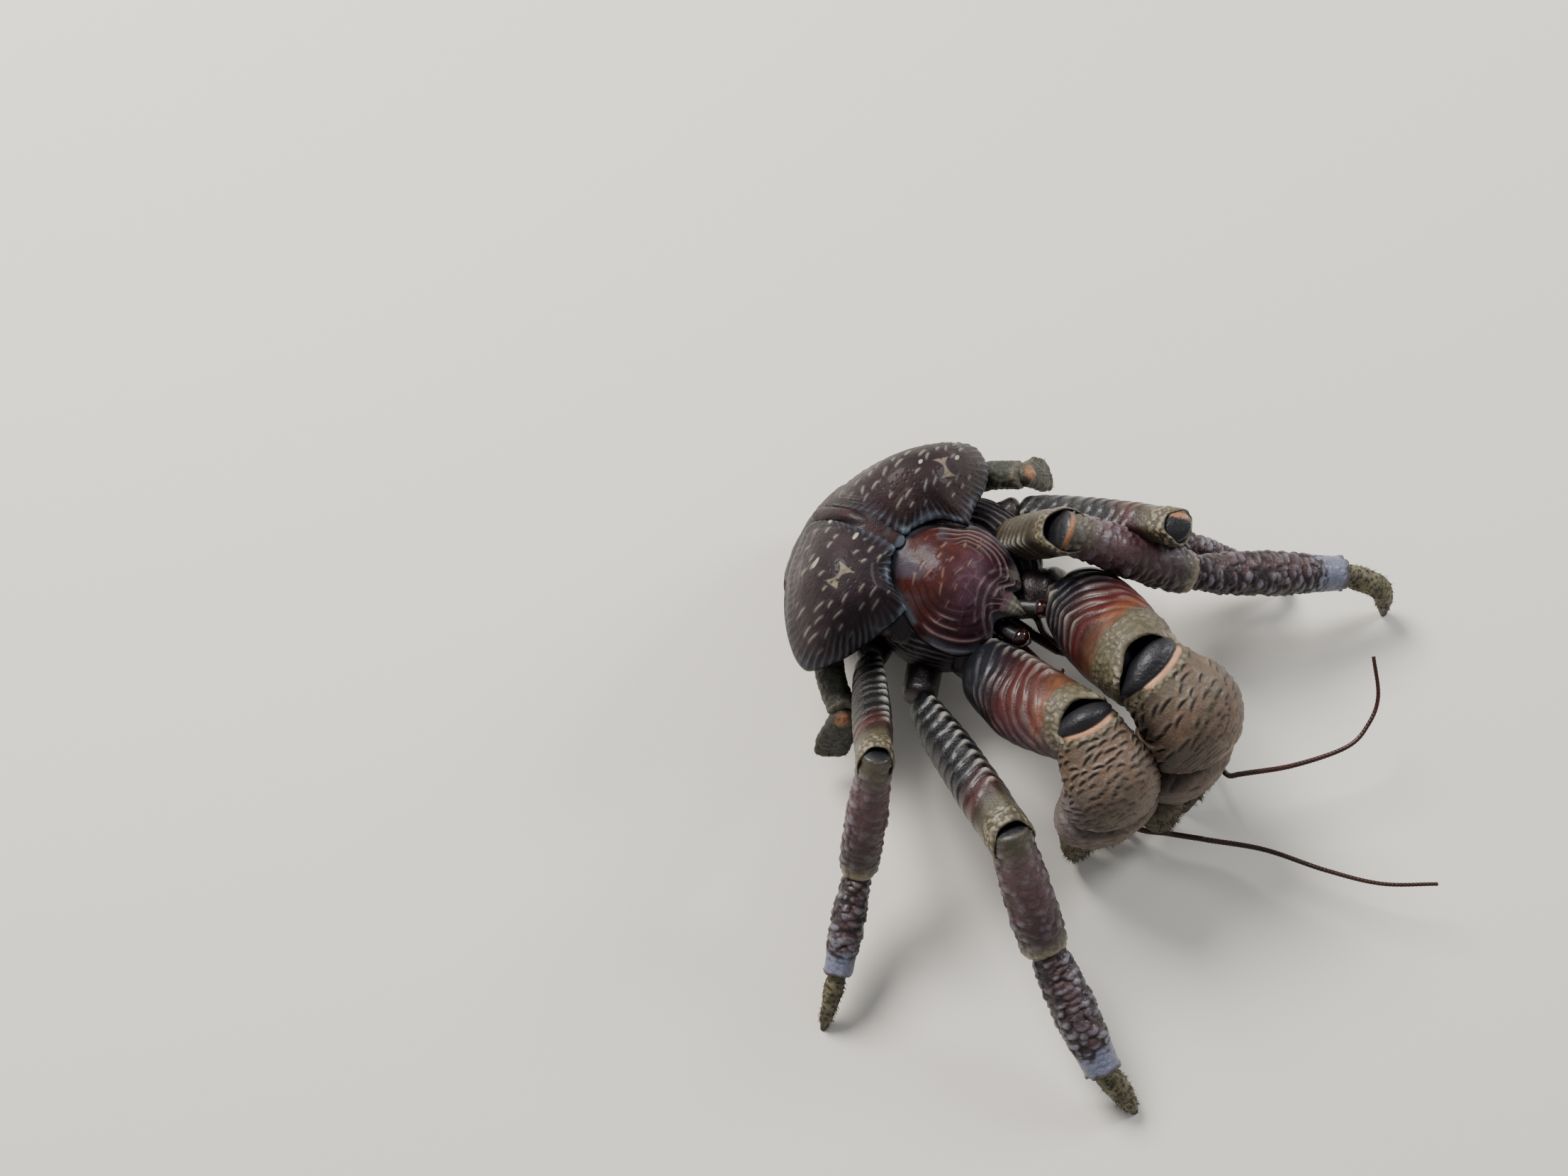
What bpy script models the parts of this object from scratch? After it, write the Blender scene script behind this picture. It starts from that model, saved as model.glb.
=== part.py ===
# Young coconut crab (Birgus latro), standing still, at life size.
# Metres, +Z up. The crab faces -Y, its left side is +X, and it stands on the plane z = 0.
# Places on the body are given in millimetres as (forward, left, height), measured from the
# notch in the middle of the carapace and from the ground.
import math

import bmesh
import bpy
import numpy as np
from mathutils import Vector

MM = 0.001
GAP = 0.3
WELD = 0.000002
NOTCH_X = 0.01386
NOTCH_Y = 0.04261

# Carapace: two swollen rear lobes, a domed front shield with its rostrum, a narrow middle strip
LOBE_LENGTH = 22.0
LOBE_HALF_WIDTH = 23.5
LOBE_SKEW = 2.2
LOBE_CREST = 35.0
LOBE_RIM = 22.0
LOBE_BOWL = (14.0, 14.0, 11.0)
SHIELD_HALF_WIDTH = 10.3
SHIELD_CREST = 32.3
SHIELD_RIM = 23.5
SHIELD_BOWL = (12.0, 10.3, 8.0)
ROSTRUM_REACH = 22.8
ROSTRUM_HEIGHT = 27.0
ROSTRUM_TURN = 0.6
PLATE_EDGE = 1.3
EYE_DIAMETER = 3.0
EYE_PLACES = {"left": (25.1, 3.8, 24.0), "right": (24.6, -2.4, 24.0)}
FLAGELLUM_ROOT = 1.1
FLAGELLUM_TIP = 0.6

FLESH_DARK = ((0.030, 0.020, 0.024), 0.35)
SHELL_DARK = ((0.035, 0.018, 0.022), 0.30)
SHELL_RED = ((0.090, 0.022, 0.018), 0.22)
CLAW_TAUPE = ((0.170, 0.120, 0.095), 0.45)
LEG_PURPLE = ((0.075, 0.040, 0.045), 0.38)
OLIVE = ((0.095, 0.090, 0.065), 0.55)
BLACK_GLOSS = ((0.008, 0.007, 0.008), 0.10)
FEELER = ((0.060, 0.018, 0.012), 0.40)


def at(forward, left, height):
    return Vector((NOTCH_X + left * MM, NOTCH_Y - forward * MM, height * MM))


def mirrored(point, side):
    return (point[0], point[1] * side, point[2])


def clear_scene():
    for item in list(bpy.data.objects):
        bpy.data.objects.remove(item, do_unlink=True)


def new_collection(name):
    collection = bpy.data.collections.new(name)
    bpy.context.scene.collection.children.link(collection)
    return collection


def dress(item, finish):
    colour, roughness = finish
    material = bpy.data.materials.new(item.name)
    material.use_nodes = True
    shader = material.node_tree.nodes["Principled BSDF"]
    shader.inputs["Base Color"].default_value = (*colour, 1.0)
    shader.inputs["Roughness"].default_value = roughness
    shader.inputs["Metallic"].default_value = 0.0
    item.data.materials.clear()
    item.data.materials.append(material)
    item.data.shade_smooth()
    item.data.set_sharp_from_angle(angle=math.radians(40.0))


# A closed body from rings of equal count, with a fan of triangles over each end.
def skin(name, rings, collection):
    count = len(rings[0])
    shape = bmesh.new()
    rows = [[shape.verts.new(point) for point in ring] for ring in rings]
    for lower, upper in zip(rows, rows[1:]):
        for index in range(count):
            after = (index + 1) % count
            shape.faces.new((lower[index], lower[after], upper[after], upper[index]))
    for row in (rows[0], rows[-1]):
        middle = shape.verts.new(sum((vertex.co for vertex in row), Vector()) / count)
        for index in range(count):
            shape.faces.new((row[index], row[(index + 1) % count], middle))
    bmesh.ops.triangulate(shape, faces=shape.faces[:])
    bmesh.ops.recalc_face_normals(shape, faces=shape.faces[:])
    mesh = bpy.data.meshes.new(name)
    shape.to_mesh(mesh)
    shape.free()
    item = bpy.data.objects.new(name, mesh)
    collection.objects.link(item)
    return item


# A smooth curve through a few points, read at a fraction of its length.
class Course:
    def __init__(self, points):
        knots = np.array(points, dtype=float)
        before = 2.0 * knots[0] - knots[1]
        beyond = 2.0 * knots[-1] - knots[-2]
        chain = np.vstack([before, knots, beyond])
        fine = []
        for index in range(len(knots) - 1):
            a, b, c, d = chain[index:index + 4]
            for u in np.linspace(0.0, 1.0, 24, endpoint=False):
                square = u * u
                cube = square * u
                blend = 2.0 * b + (c - a) * u + (2.0 * a - 5.0 * b + 4.0 * c - d) * square
                fine.append(0.5 * (blend + (3.0 * b - a - 3.0 * c + d) * cube))
        fine.append(knots[-1])
        self.points = np.array(fine)
        steps = np.linalg.norm(np.diff(self.points, axis=0), axis=1)
        self.reach = np.concatenate([[0.0], np.cumsum(steps)])
        self.length = float(self.reach[-1])

    def read(self, fraction):
        along = fraction * self.length
        first = (self.points[1] - self.points[0]) / (self.reach[1] - self.reach[0])
        last = (self.points[-1] - self.points[-2]) / (self.reach[-1] - self.reach[-2])
        if along < 0.0:
            return self.points[0] + first * along
        if along > self.length:
            return self.points[-1] + last * (along - self.length)
        return np.array([np.interp(along, self.reach, self.points[:, axis]) for axis in range(3)])

    def heading(self, fraction):
        step = 0.02
        lead = self.read(min(1.0, fraction + step)) - self.read(max(0.0, fraction - step))
        return lead / np.linalg.norm(lead)


# One limb segment: oval sections along a course, with a rounded root that sits in its
# parent's socket, cross ridges on its upper side and, at the ground, a small flat. Ridges may
# slant, which shifts one side of every ring along the limb by so many mm and the other back.
class Limb:
    def __init__(self, points, lift, widths, heights, sides=9, rings=5, root=0.9, end=0.25,
                 ridges=0, ridge_height=0.0, ridge_span=(0.12, 0.82), slant=0.0):
        self.course = Course(points)
        self.lift = np.array(lift, dtype=float)
        self.widths = widths
        self.heights = heights
        self.sides = sides
        self.rings = rings
        self.root = root
        self.end = end
        self.ridges = ridges
        self.ridge_height = ridge_height
        self.ridge_span = ridge_span
        self.slant = slant

    def frame(self, fraction):
        heading = self.course.heading(fraction)
        side = np.cross(heading, self.lift)
        side /= np.linalg.norm(side)
        return side, np.cross(side, heading)

    def half(self, sizes, fraction):
        places = np.linspace(0.0, 1.0, len(sizes))
        return 0.5 * float(np.interp(fraction, places, sizes))

    # How far a ridge stands up here: nothing in a trough, all of it on a crest.
    def crest(self, fraction):
        if not self.ridges:
            return 0.0
        first, last = self.ridge_span
        phase = (fraction - first) / (last - first) * self.ridges
        if phase <= 0.0 or phase >= self.ridges:
            return 0.0
        part = phase % 1.0
        return part / 0.7 if part < 0.7 else (1.0 - part) / 0.3

    def point(self, fraction, angle, outward=0.0):
        side, up = self.frame(fraction)
        upper = max(0.0, math.sin(angle)) ** 0.6
        extra = outward + self.ridge_height * self.crest(fraction) * upper
        across = (self.half(self.widths, fraction) + extra) * math.cos(angle)
        above = (self.half(self.heights, fraction) + extra) * math.sin(angle)
        return self.course.read(fraction) + side * across + up * above

    # How far along a ring's point is shifted at this place and turn, as a share of the length.
    def shift(self, fraction, angle):
        window = math.sin(math.pi * min(1.0, max(0.0, fraction))) ** 0.7
        return self.slant * window * math.cos(angle) / self.course.length

    # Places of the rings: a few round the root, a few round the end, and a trough and a
    # crest for every ridge between them.
    def stations(self):
        length = self.course.length
        root_span = self.root * self.half(self.heights, 0.1) / length
        end_span = self.end * self.half(self.heights, 0.95) / length
        places = []
        for turn in (0.36, 0.9):
            swing = turn * math.pi / 2.0
            places.append((root_span * (1.0 - math.cos(swing)), math.sin(swing)))
        inner = list(np.linspace(root_span, 1.0 - end_span, self.rings + 1)[1:-1])
        if self.ridges:
            first, last = self.ridge_span
            pitch = (last - first) / self.ridges
            inner = [place for place in inner if not first < place < last]
            for index in range(self.ridges):
                inner.append(first + pitch * (index + 0.001))
                inner.append(first + pitch * (index + 0.7))
            inner.append(last)
        places += [(place, 1.0) for place in sorted(inner) if place > root_span * 1.05]
        for turn in (0.9, 0.36):
            swing = turn * math.pi / 2.0
            places.append((1.0 - end_span * (1.0 - math.cos(swing)), math.sin(swing)))
        return places

    def body(self, name, collection, grow=0.0):
        rings = []
        spread = grow / self.course.length
        for place, scale in self.stations():
            ring = []
            for index in range(self.sides):
                angle = 2.0 * math.pi * index / self.sides
                shifted = (place + self.shift(place, angle)) * (1.0 + 2.0 * spread) - spread
                centre = self.course.read(shifted)
                rim = self.point(place, angle) - self.course.read(place)
                reach = np.linalg.norm(rim)
                spot = centre + rim * scale + rim / reach * grow
                lowest = 0.0 if grow == 0.0 else -grow
                ring.append(at(spot[0], spot[1], max(spot[2], lowest)))
            rings.append(ring)
        return skin(name, rings, collection)


# Small raised forms on a limb, each a four-sided wedge with its root sunk in the limb. Each
# place is a fraction of the length, a turn round the limb in degrees and a size factor. A
# wedge spans so far across the limb and so far along it, rises so high and leans to the tip.
class Studs:
    def __init__(self, host, places, span, run, height, lean=0.0, crest=0.0, sunk=0.5):
        self.host = host
        self.places = places
        self.span = span
        self.run = run
        self.height = height
        self.lean = lean
        self.crest = crest
        self.sunk = sunk

    def wedge(self, fraction, turn, size):
        angle = math.radians(turn)
        foot = self.host.point(fraction, angle)
        outward = self.host.point(fraction, angle, 1.0) - foot
        outward /= np.linalg.norm(outward)
        along = self.host.course.heading(fraction)
        across = np.cross(along, outward)
        across /= np.linalg.norm(across)
        base = []
        for wide, far in ((-0.5, -0.5), (0.5, -0.5), (0.5, 0.5), (-0.5, 0.5)):
            spot = foot + across * wide * self.span * size + along * far * self.run * size
            base.append(spot - outward * self.sunk)
        peak = foot + outward * self.height * size + along * self.lean * size
        reach = across * self.crest * self.span * size * 0.5
        return base, peak - reach, peak + reach

    def body(self, name, collection):
        shape = bmesh.new()
        for place in self.places:
            base, first, last = self.wedge(*place)
            a, b, c, d = (shape.verts.new(at(*spot)) for spot in base)
            low = shape.verts.new(at(*first))
            if self.crest:
                high = shape.verts.new(at(*last))
                faces = ((a, b, high, low), (b, c, high), (c, d, low, high), (d, a, low))
            else:
                faces = ((a, b, low), (b, c, low), (c, d, low), (d, a, low))
            for corners in faces:
                shape.faces.new(corners)
            shape.faces.new((d, c, b, a))
        bmesh.ops.triangulate(shape, faces=shape.faces[:])
        bmesh.ops.recalc_face_normals(shape, faces=shape.faces[:])
        mesh = bpy.data.meshes.new(name)
        shape.to_mesh(mesh)
        shape.free()
        item = bpy.data.objects.new(name, mesh)
        collection.objects.link(item)
        return item


# Places of studs in staggered rows: rows at some turns round a limb, a few in each row.
def staggered(turns, count, first, last, sizes=(1.0, 0.85, 1.1)):
    places = []
    for row, turn in enumerate(turns):
        pitch = (last - first) / count
        for index in range(count):
            fraction = first + pitch * (index + 0.25 + 0.5 * (row % 2))
            places.append((fraction, turn, sizes[(index + row) % len(sizes)]))
    return places


# A domed plate: its rim is a smooth closed line through a few places, its top is a bowl that
# bends to meet the rim near the edge, and its under side is flatter. The bowl falls by its
# drop at its own length and width from the crown.
class Plate:
    def __init__(self, crown, rim, bowl, depth, sides=28, rings=6, sharp=()):
        self.crown = np.array(crown, dtype=float)
        self.bowl = bowl
        self.depth = depth
        self.rings = rings
        corners = np.array(rim, dtype=float)
        count = len(corners)
        edge = []
        per = max(1, round(sides / count))
        for index in range(count):
            a, b, c, d = (corners[(index + shift) % count] for shift in (-1, 0, 1, 2))
            if index in sharp:
                a = 2.0 * b - c
            if (index + 1) % count in sharp:
                d = 2.0 * c - b
            for u in np.linspace(0.0, 1.0, per, endpoint=False):
                square = u * u
                cube = square * u
                blend = 2.0 * b + (c - a) * u + (2.0 * a - 5.0 * b + 4.0 * c - d) * square
                edge.append(0.5 * (blend + (3.0 * b - a - 3.0 * c + d) * cube))
        self.edge = np.array(edge)

    def dome(self, spot):
        length, width, drop = self.bowl
        away = (spot[:2] - self.crown[:2]) / np.array([length, width])
        return self.crown[2] - drop * np.linalg.norm(away) ** 2.2

    def top(self, rim_point, reach):
        flat = self.crown[:2] + (rim_point[:2] - self.crown[:2]) * reach
        mend = (rim_point[2] - self.dome(rim_point)) * reach ** 3
        return np.array([flat[0], flat[1], self.dome(flat) + mend])

    def body(self, name, collection, grow=0.0):
        rings = []
        reaches = np.linspace(0.2, 1.0, self.rings)
        for below, order in ((False, reaches), (True, (1.0, 0.75, 0.4))):
            for reach in order:
                ring = []
                for rim_point in self.edge:
                    spot = self.top(rim_point, reach)
                    outward = rim_point[:2] - self.crown[:2]
                    outward /= np.linalg.norm(outward)
                    spot[:2] += outward * grow * reach
                    if below:
                        spot[2] -= PLATE_EDGE + self.depth * (1.0 - reach ** 2) + grow
                        spot[:2] -= outward * 0.4 * reach
                    else:
                        spot[2] += grow
                    ring.append(at(*spot))
                rings.append(ring)
        return skin(name, rings, collection)


# Every node with the body that carves its place out of the nodes built before it.
class Crab:
    def __init__(self):
        self.nodes = []
        self.parts = new_collection("coconut_crab")
        self.cutters = new_collection("cutters")

    def add(self, name, finish, *forms):
        item = forms[0].body(name, self.parts)
        solid = [form for form in forms if not isinstance(form, Studs)]
        carvers = [form.body(name + "_carver", self.cutters, GAP) for form in solid]
        if len(forms) > 1:
            extras = new_collection(name + "_pieces")
            for form in forms[1:]:
                form.body(name + "_piece", extras)
            combine(item, extras, "UNION")
            drop(extras)
        self.nodes.append((item, finish, carvers))

    def carve(self):
        for index, (item, finish, _) in enumerate(self.nodes):
            near = new_collection(item.name + "_near")
            for later in self.nodes[index + 1:]:
                for carver in later[2]:
                    if boxes_meet(item, carver):
                        near.objects.link(carver)
            if near.objects:
                combine(item, near, "DIFFERENCE")
            bpy.data.collections.remove(near)
            keep_largest(item)
            dress(item, finish)
        for carver in list(self.cutters.objects):
            bpy.data.objects.remove(carver, do_unlink=True)


def boxes_meet(one, other):
    mine = np.array([vertex.co for vertex in one.data.vertices])
    theirs = np.array([vertex.co for vertex in other.data.vertices])
    apart = (mine.min(axis=0) > theirs.max(axis=0)) | (theirs.min(axis=0) > mine.max(axis=0))
    return not apart.any()


# One Boolean of a node with a collection of closed bodies, by the second solver where the
# first leaves an edge open.
def combine(item, collection, operation):
    modifier = item.modifiers.new(operation.lower(), "BOOLEAN")
    modifier.operation = operation
    modifier.operand_type = "COLLECTION"
    modifier.collection = collection
    for solver in ("EXACT", "MANIFOLD"):
        modifier.solver = solver
        bpy.context.view_layer.update()
        view = item.evaluated_get(bpy.context.evaluated_depsgraph_get())
        result = bpy.data.meshes.new_from_object(view)
        if is_closed(result):
            break
    item.modifiers.clear()
    item.data = result


def is_closed(mesh):
    shape = bmesh.new()
    shape.from_mesh(mesh)
    bmesh.ops.remove_doubles(shape, verts=shape.verts[:], dist=WELD)
    sound = all(len(edge.link_faces) == 2 for edge in shape.edges)
    shape.free()
    return sound


def drop(collection):
    for item in list(collection.objects):
        bpy.data.objects.remove(item, do_unlink=True)
    bpy.data.collections.remove(collection)


# Keeps the closed surface with the largest volume.
def keep_largest(item):
    shape = bmesh.new()
    shape.from_mesh(item.data)
    bmesh.ops.remove_doubles(shape, verts=shape.verts[:], dist=WELD)
    bmesh.ops.triangulate(shape, faces=shape.faces[:])
    shape.verts.ensure_lookup_table()
    seen = set()
    groups = []
    for start in shape.verts:
        if start.index in seen:
            continue
        seen.add(start.index)
        group = []
        queue = [start]
        while queue:
            vertex = queue.pop()
            group.append(vertex)
            for edge in vertex.link_edges:
                other = edge.other_vert(vertex)
                if other.index not in seen:
                    seen.add(other.index)
                    queue.append(other)
        groups.append(group)

    def volume(group):
        faces = {face for vertex in group for face in vertex.link_faces}
        total = 0.0
        for face in faces:
            a, b, c = (vertex.co for vertex in face.verts)
            total += a.dot(b.cross(c)) / 6.0
        return abs(total)

    groups.sort(key=volume)
    loose = [vertex for group in groups[:-1] for vertex in group]
    bmesh.ops.delete(shape, geom=loose, context="VERTS")
    shape.to_mesh(item.data)
    shape.free()


UP = (0.0, 0.0, 1.0)
DOWN = (0.0, 0.0, -1.0)

# Joints of each walking leg in mm: hip, socket, knee, wrist, ankle and tip
LEG_JOINTS = {
    "leg2_right": ((11, -8, 12), (14.5, -18, 15.5), (38.9, -34.2, 30), (52, -43.9, 16),
                   (69.6, -55, 7), (77.6, -57, -0.4)),
    "leg2_left": ((10, 8, 11), (12.5, 14.5, 13), (23, 13, 36), (43, 22, 22),
                  (65.6, 38.7, 13), (75.8, 41.2, -0.4)),
    "leg3_right": ((3, -9, 11), (3.6, -15.8, 14), (14.8, -34.6, 32), (19.8, -47.9, 15),
                   (24.7, -63, 8), (26.6, -70.9, -0.4)),
    "leg3_left": ((5, 11, 12), (13.5, 20.5, 17), (37.7, 23.4, 34), (36.5, 28, 16.5),
                  (53, 33, 8), (59, 37.5, -0.4)),
}
LEG_WIDTHS = {
    "leg2": dict(hip=(6.5, 6.0), merus=(5.0, 6.8, 7.6, 7.8, 7.6), carpus=(4.6, 6.0, 7.6, 7.8, 7.2),
                 propodus=(4.6, 6.6, 7.2, 6.6, 5.9), dactyl=(3.4, 4.3, 3.9, 2.9, 1.0)),
    "leg3": dict(hip=(6.0, 5.6), merus=(4.4, 5.6, 6.2, 6.2, 6.0), carpus=(3.8, 5.0, 6.4, 6.4, 5.6),
                 propodus=(3.6, 4.8, 5.4, 5.0, 4.6), dactyl=(2.4, 3.3, 2.8, 2.0, 0.9)),
}
LEG_RIDGES = {"leg2": 10, "leg3": 9}
# Raised forms in mm: span across the limb, run along it, height, lean to the tip
MERUS_SPINE = (1.1, 1.2, 0.8, 0.7)
CARPUS_BUMP = (1.4, 0.9, 0.4, 0.15)
PROPODUS_SCALE = (1.5, 0.9, 0.4, 0.2)
DACTYL_SPINE = (0.6, 0.7, 0.45, 0.5)
CLAW_RUGA = (2.0, 0.9, 0.45, 0.25)
CLAW_SPINE = (1.4, 1.5, 0.9, 0.8)
CLAW_TOOTH = (1.4, 1.3, 0.6, 0.1)
# How far the ridges of an upper segment slant towards its tip on the crab's right, mm
SLANT = 1.6
# Where each leg's last segment passes on its bent way from ankle to tip, mm
DACTYL_MIDDLE = {"leg2_right": (73.5, -55.9, 4.4), "leg2_left": (72.6, 41.4, 8.6),
                 "leg3_right": (25.7, -66.9, 4.7), "leg3_left": (56.4, 35.2, 4.8)}


def between(a, b, share):
    return tuple(np.array(a, dtype=float) * (1.0 - share) + np.array(b, dtype=float) * share)


def beyond(a, b, extra):
    step = np.array(b, dtype=float) - np.array(a, dtype=float)
    return tuple(np.array(b, dtype=float) + step / np.linalg.norm(step) * extra)


def scaled(sizes, factor):
    return tuple(size * factor for size in sizes)


def add_leg(crab, name):
    hip, socket, knee, wrist, ankle, tip = LEG_JOINTS[name]
    widths = LEG_WIDTHS[name.split("_")[0]]
    ridges = LEG_RIDGES[name.split("_")[0]]
    chord = (np.array(socket) + np.array(tip)) / 2.0
    lift = np.array(knee, dtype=float) - chord
    lift /= np.linalg.norm(lift)
    crab.add(name + "_hip", FLESH_DARK,
             Limb((hip, socket), UP, widths["hip"], scaled(widths["hip"], 1.05), sides=8, rings=3,
                  end=0.5))
    merus_root = beyond(knee, socket, 0.3)
    merus = Limb((merus_root, beyond(socket, knee, 1.2)), lift, widths["merus"],
                 scaled(widths["merus"], 1.1), ridges=ridges, ridge_height=0.35, rings=6,
                 slant=SLANT)
    rim = Studs(merus, ((0.88, 122, 1.0), (0.88, 58, 1.0)), *MERUS_SPINE)
    crab.add(name + "_merus", LEG_PURPLE, merus, rim)
    carpus_root = beyond(wrist, knee, 1.8)
    carpus = Limb((carpus_root, wrist), lift, widths["carpus"], scaled(widths["carpus"], 1.02),
                  rings=5, end=0.5)
    bumps = Studs(carpus, staggered((62, 118), 3, 0.3, 0.86), *CARPUS_BUMP, crest=0.5)
    crab.add(name + "_carpus", LEG_PURPLE, carpus, bumps)
    propodus_root = beyond(ankle, wrist, 1.4)
    propodus = Limb((propodus_root, ankle), lift, widths["propodus"], widths["propodus"], rings=5,
                    end=0.4)
    scales = Studs(propodus, staggered((58, 122), 4, 0.2, 0.84), *PROPODUS_SCALE, crest=0.6)
    crab.add(name + "_propodus", LEG_PURPLE, propodus, scales)
    dactyl_root = beyond(DACTYL_MIDDLE[name], ankle, 1.2)
    dactyl = Limb((dactyl_root, ankle, DACTYL_MIDDLE[name], tip), lift, widths["dactyl"],
                  widths["dactyl"], sides=8, rings=6, end=0.9)
    spines = Studs(dactyl, staggered((90,), 4, 0.28, 0.84), *DACTYL_SPINE)
    crab.add(name + "_dactyl", OLIVE, dactyl, spines)


# Joints of each claw arm in mm: hip, socket, knee, bend of the wrist, shoulder of the palm and
# knuckle, then the finger tips. The upper arm bows outwards, and mesial points to the mid line.
CLAW_JOINTS = {
    "claw_right": dict(hip=(14, -5, 12.5), socket=(20.3, -9.0, 20.5), knee=(41.0, -13.8, 33.5),
                       bend=(48.4, -18.3, 30.4), shoulder=(49.5, -19.1, 24.5),
                       knuckle=(50.0, -19.6, 13.0), outer_tip=(49.5, -23.2, -0.5),
                       inner_tip=(51.6, -20.0, 1.6), size=1.0, mesial=1.0, bow=(0, -0.9, -0.4),
                       palm=(15.5, 17.6, 18.0, 16.5, 13.0)),
    "claw_left": dict(hip=(16.5, 5.2, 13), socket=(27.2, 9.8, 21.0), knee=(45.5, -1.0, 35.0),
                      bend=(54.3, -2.5, 31.8), shoulder=(55.7, -4.5, 25.2),
                      knuckle=(57.3, -6.8, 14.0), outer_tip=(61.2, -7.8, -0.5),
                      inner_tip=(59.4, -11.2, 1.6), size=1.16, mesial=-1.0, bow=(0, 0, -0.4),
                      palm=(15.6, 17.2, 16.2, 14.4, 11.6)),
}
CARPUS_WIDTHS = (7.4, 10.0, 12.8, 15.0, 16.6, 17.2)
CARPUS_HEIGHTS = (7.4, 9.4, 11.2, 12.2, 12.6, 12.2)


def add_claw(crab, name):
    joints = CLAW_JOINTS[name]
    size = joints["size"]
    mesial = joints["mesial"]
    hip, socket, knee = joints["hip"], joints["socket"], joints["knee"]
    bend, shoulder, knuckle = joints["bend"], joints["shoulder"], joints["knuckle"]
    face = np.array([bend[0] - knee[0], bend[1] - knee[1], 0.0])
    face /= np.linalg.norm(face)
    across = np.array([-face[1], face[0], 0.0])
    crab.add(name + "_hip", FLESH_DARK,
             Limb((hip, socket), UP, scaled((6.2, 7.2, 7.4), size), scaled((6.2, 7.2, 7.4), size),
                  rings=3, end=0.5))
    middle = np.array(between(socket, knee, 0.5)) + np.array(joints["bow"])
    merus = Limb((beyond(knee, socket, 1.0), tuple(middle), beyond(socket, knee, 0.6)), UP,
                 scaled((9.0, 12.0, 13.4, 13.4, 12.4, 10.8), size),
                 scaled((9.0, 11.5, 12.8, 13.0, 12.4, 11.0), size), sides=12, rings=7,
                 root=0.8, ridges=8, ridge_height=0.45, ridge_span=(0.16, 0.74), slant=SLANT)
    rim = Studs(merus, ((0.82, 140, size), (0.82, 90, size), (0.82, 40, size)), *CLAW_SPINE)
    crab.add(name + "_merus", SHELL_DARK, merus, rim)
    wrist_root = np.array(beyond(bend, knee, 2.8))
    crown = np.array(between(knee, bend, 0.5)) + np.array([0.0, 0.0, 0.6])
    carpus = Limb((tuple(wrist_root), tuple(crown), bend, shoulder), face + np.array(UP),
                  scaled(CARPUS_WIDTHS, size), scaled(CARPUS_HEIGHTS, size), sides=12, rings=6,
                  root=0.8, end=0.35)
    rows = [90 - 20 * mesial + turn for turn in (-30, 0, 30)]
    rugae = Studs(carpus, staggered(rows, 3, 0.36, 0.9), *CLAW_RUGA, crest=0.7)
    crab.add(name + "_carpus", CLAW_TAUPE, carpus, rugae)
    palm_root = beyond(knuckle, shoulder, 0.6)
    palm = Limb((palm_root, between(shoulder, knuckle, 0.5), knuckle), face,
                scaled(joints["palm"], size), scaled((10.8, 12.2, 12.0, 10.8, 8.8), size), sides=12,
                rings=5, root=0.35, end=0.7)
    outer_root = np.array(knuckle) + np.array([0, 0, 4.0]) - across * mesial * 3.7 * size
    outer_bend = np.array(between(outer_root, joints["outer_tip"], 0.6)) - across * mesial * 1.2
    fixed = Limb((tuple(outer_root), tuple(outer_bend), joints["outer_tip"]), face,
                 scaled((7.4, 6.4, 4.4, 1.6), size), scaled((7.0, 6.0, 4.2, 1.6), size), rings=5,
                 sides=8, end=0.8)
    rugae = Studs(palm, staggered((36, 72, 108, 144), 2, 0.18, 0.8), *CLAW_RUGA, crest=0.7)
    inward = 180 if mesial > 0.0 else 0
    teeth = Studs(fixed, [(place, inward, size) for place in (0.5, 0.66, 0.8)], *CLAW_TOOTH)
    crab.add(name + "_palm", CLAW_TAUPE, palm, fixed, rugae, teeth)
    inner_root = np.array(knuckle) + np.array([0, 0, 1.0]) + across * mesial * 4.0 * size
    inner_bend = np.array(between(inner_root, joints["inner_tip"], 0.6)) + across * mesial * 1.4
    crab.add(name + "_finger", OLIVE,
             Limb((tuple(inner_root), tuple(inner_bend), joints["inner_tip"]), face,
                  scaled((6.0, 6.4, 4.8, 1.6), size), scaled((6.0, 6.2, 4.6, 1.6), size), rings=5,
                  sides=8, end=0.8))


# Places in mm of the small fourth leg: root, bend and end of its upper part, end of its hand
FOURTH_LEG = {
    "leg4_right": ((-5, -12, 12), (-1.4, -20.0, 14.2), (4.4, -25.7, 15.5), (5.2, -31.0, 6.5)),
    "leg4_left": ((-3, 12, 12), (4.0, 22.4, 14.6), (10.6, 25.0, 19.0), (13.5, 30.5, 11.0)),
}


def add_fourth_leg(crab, name):
    root, bend, elbow, end = FOURTH_LEG[name]
    crab.add(name + "_merus", FLESH_DARK,
             Limb((root, bend, elbow), UP, (4.4, 4.9, 4.8), (4.4, 4.7, 4.6), sides=8, rings=5))
    lean = np.array(elbow, dtype=float) - np.array(root, dtype=float)
    crab.add(name + "_hand", OLIVE,
             Limb((beyond(end, elbow, 0.8), end), lean, (3.0, 4.6, 6.4, 5.6), (3.0, 3.2, 2.6, 1.8),
                  sides=8, rings=4, end=0.8))


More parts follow.
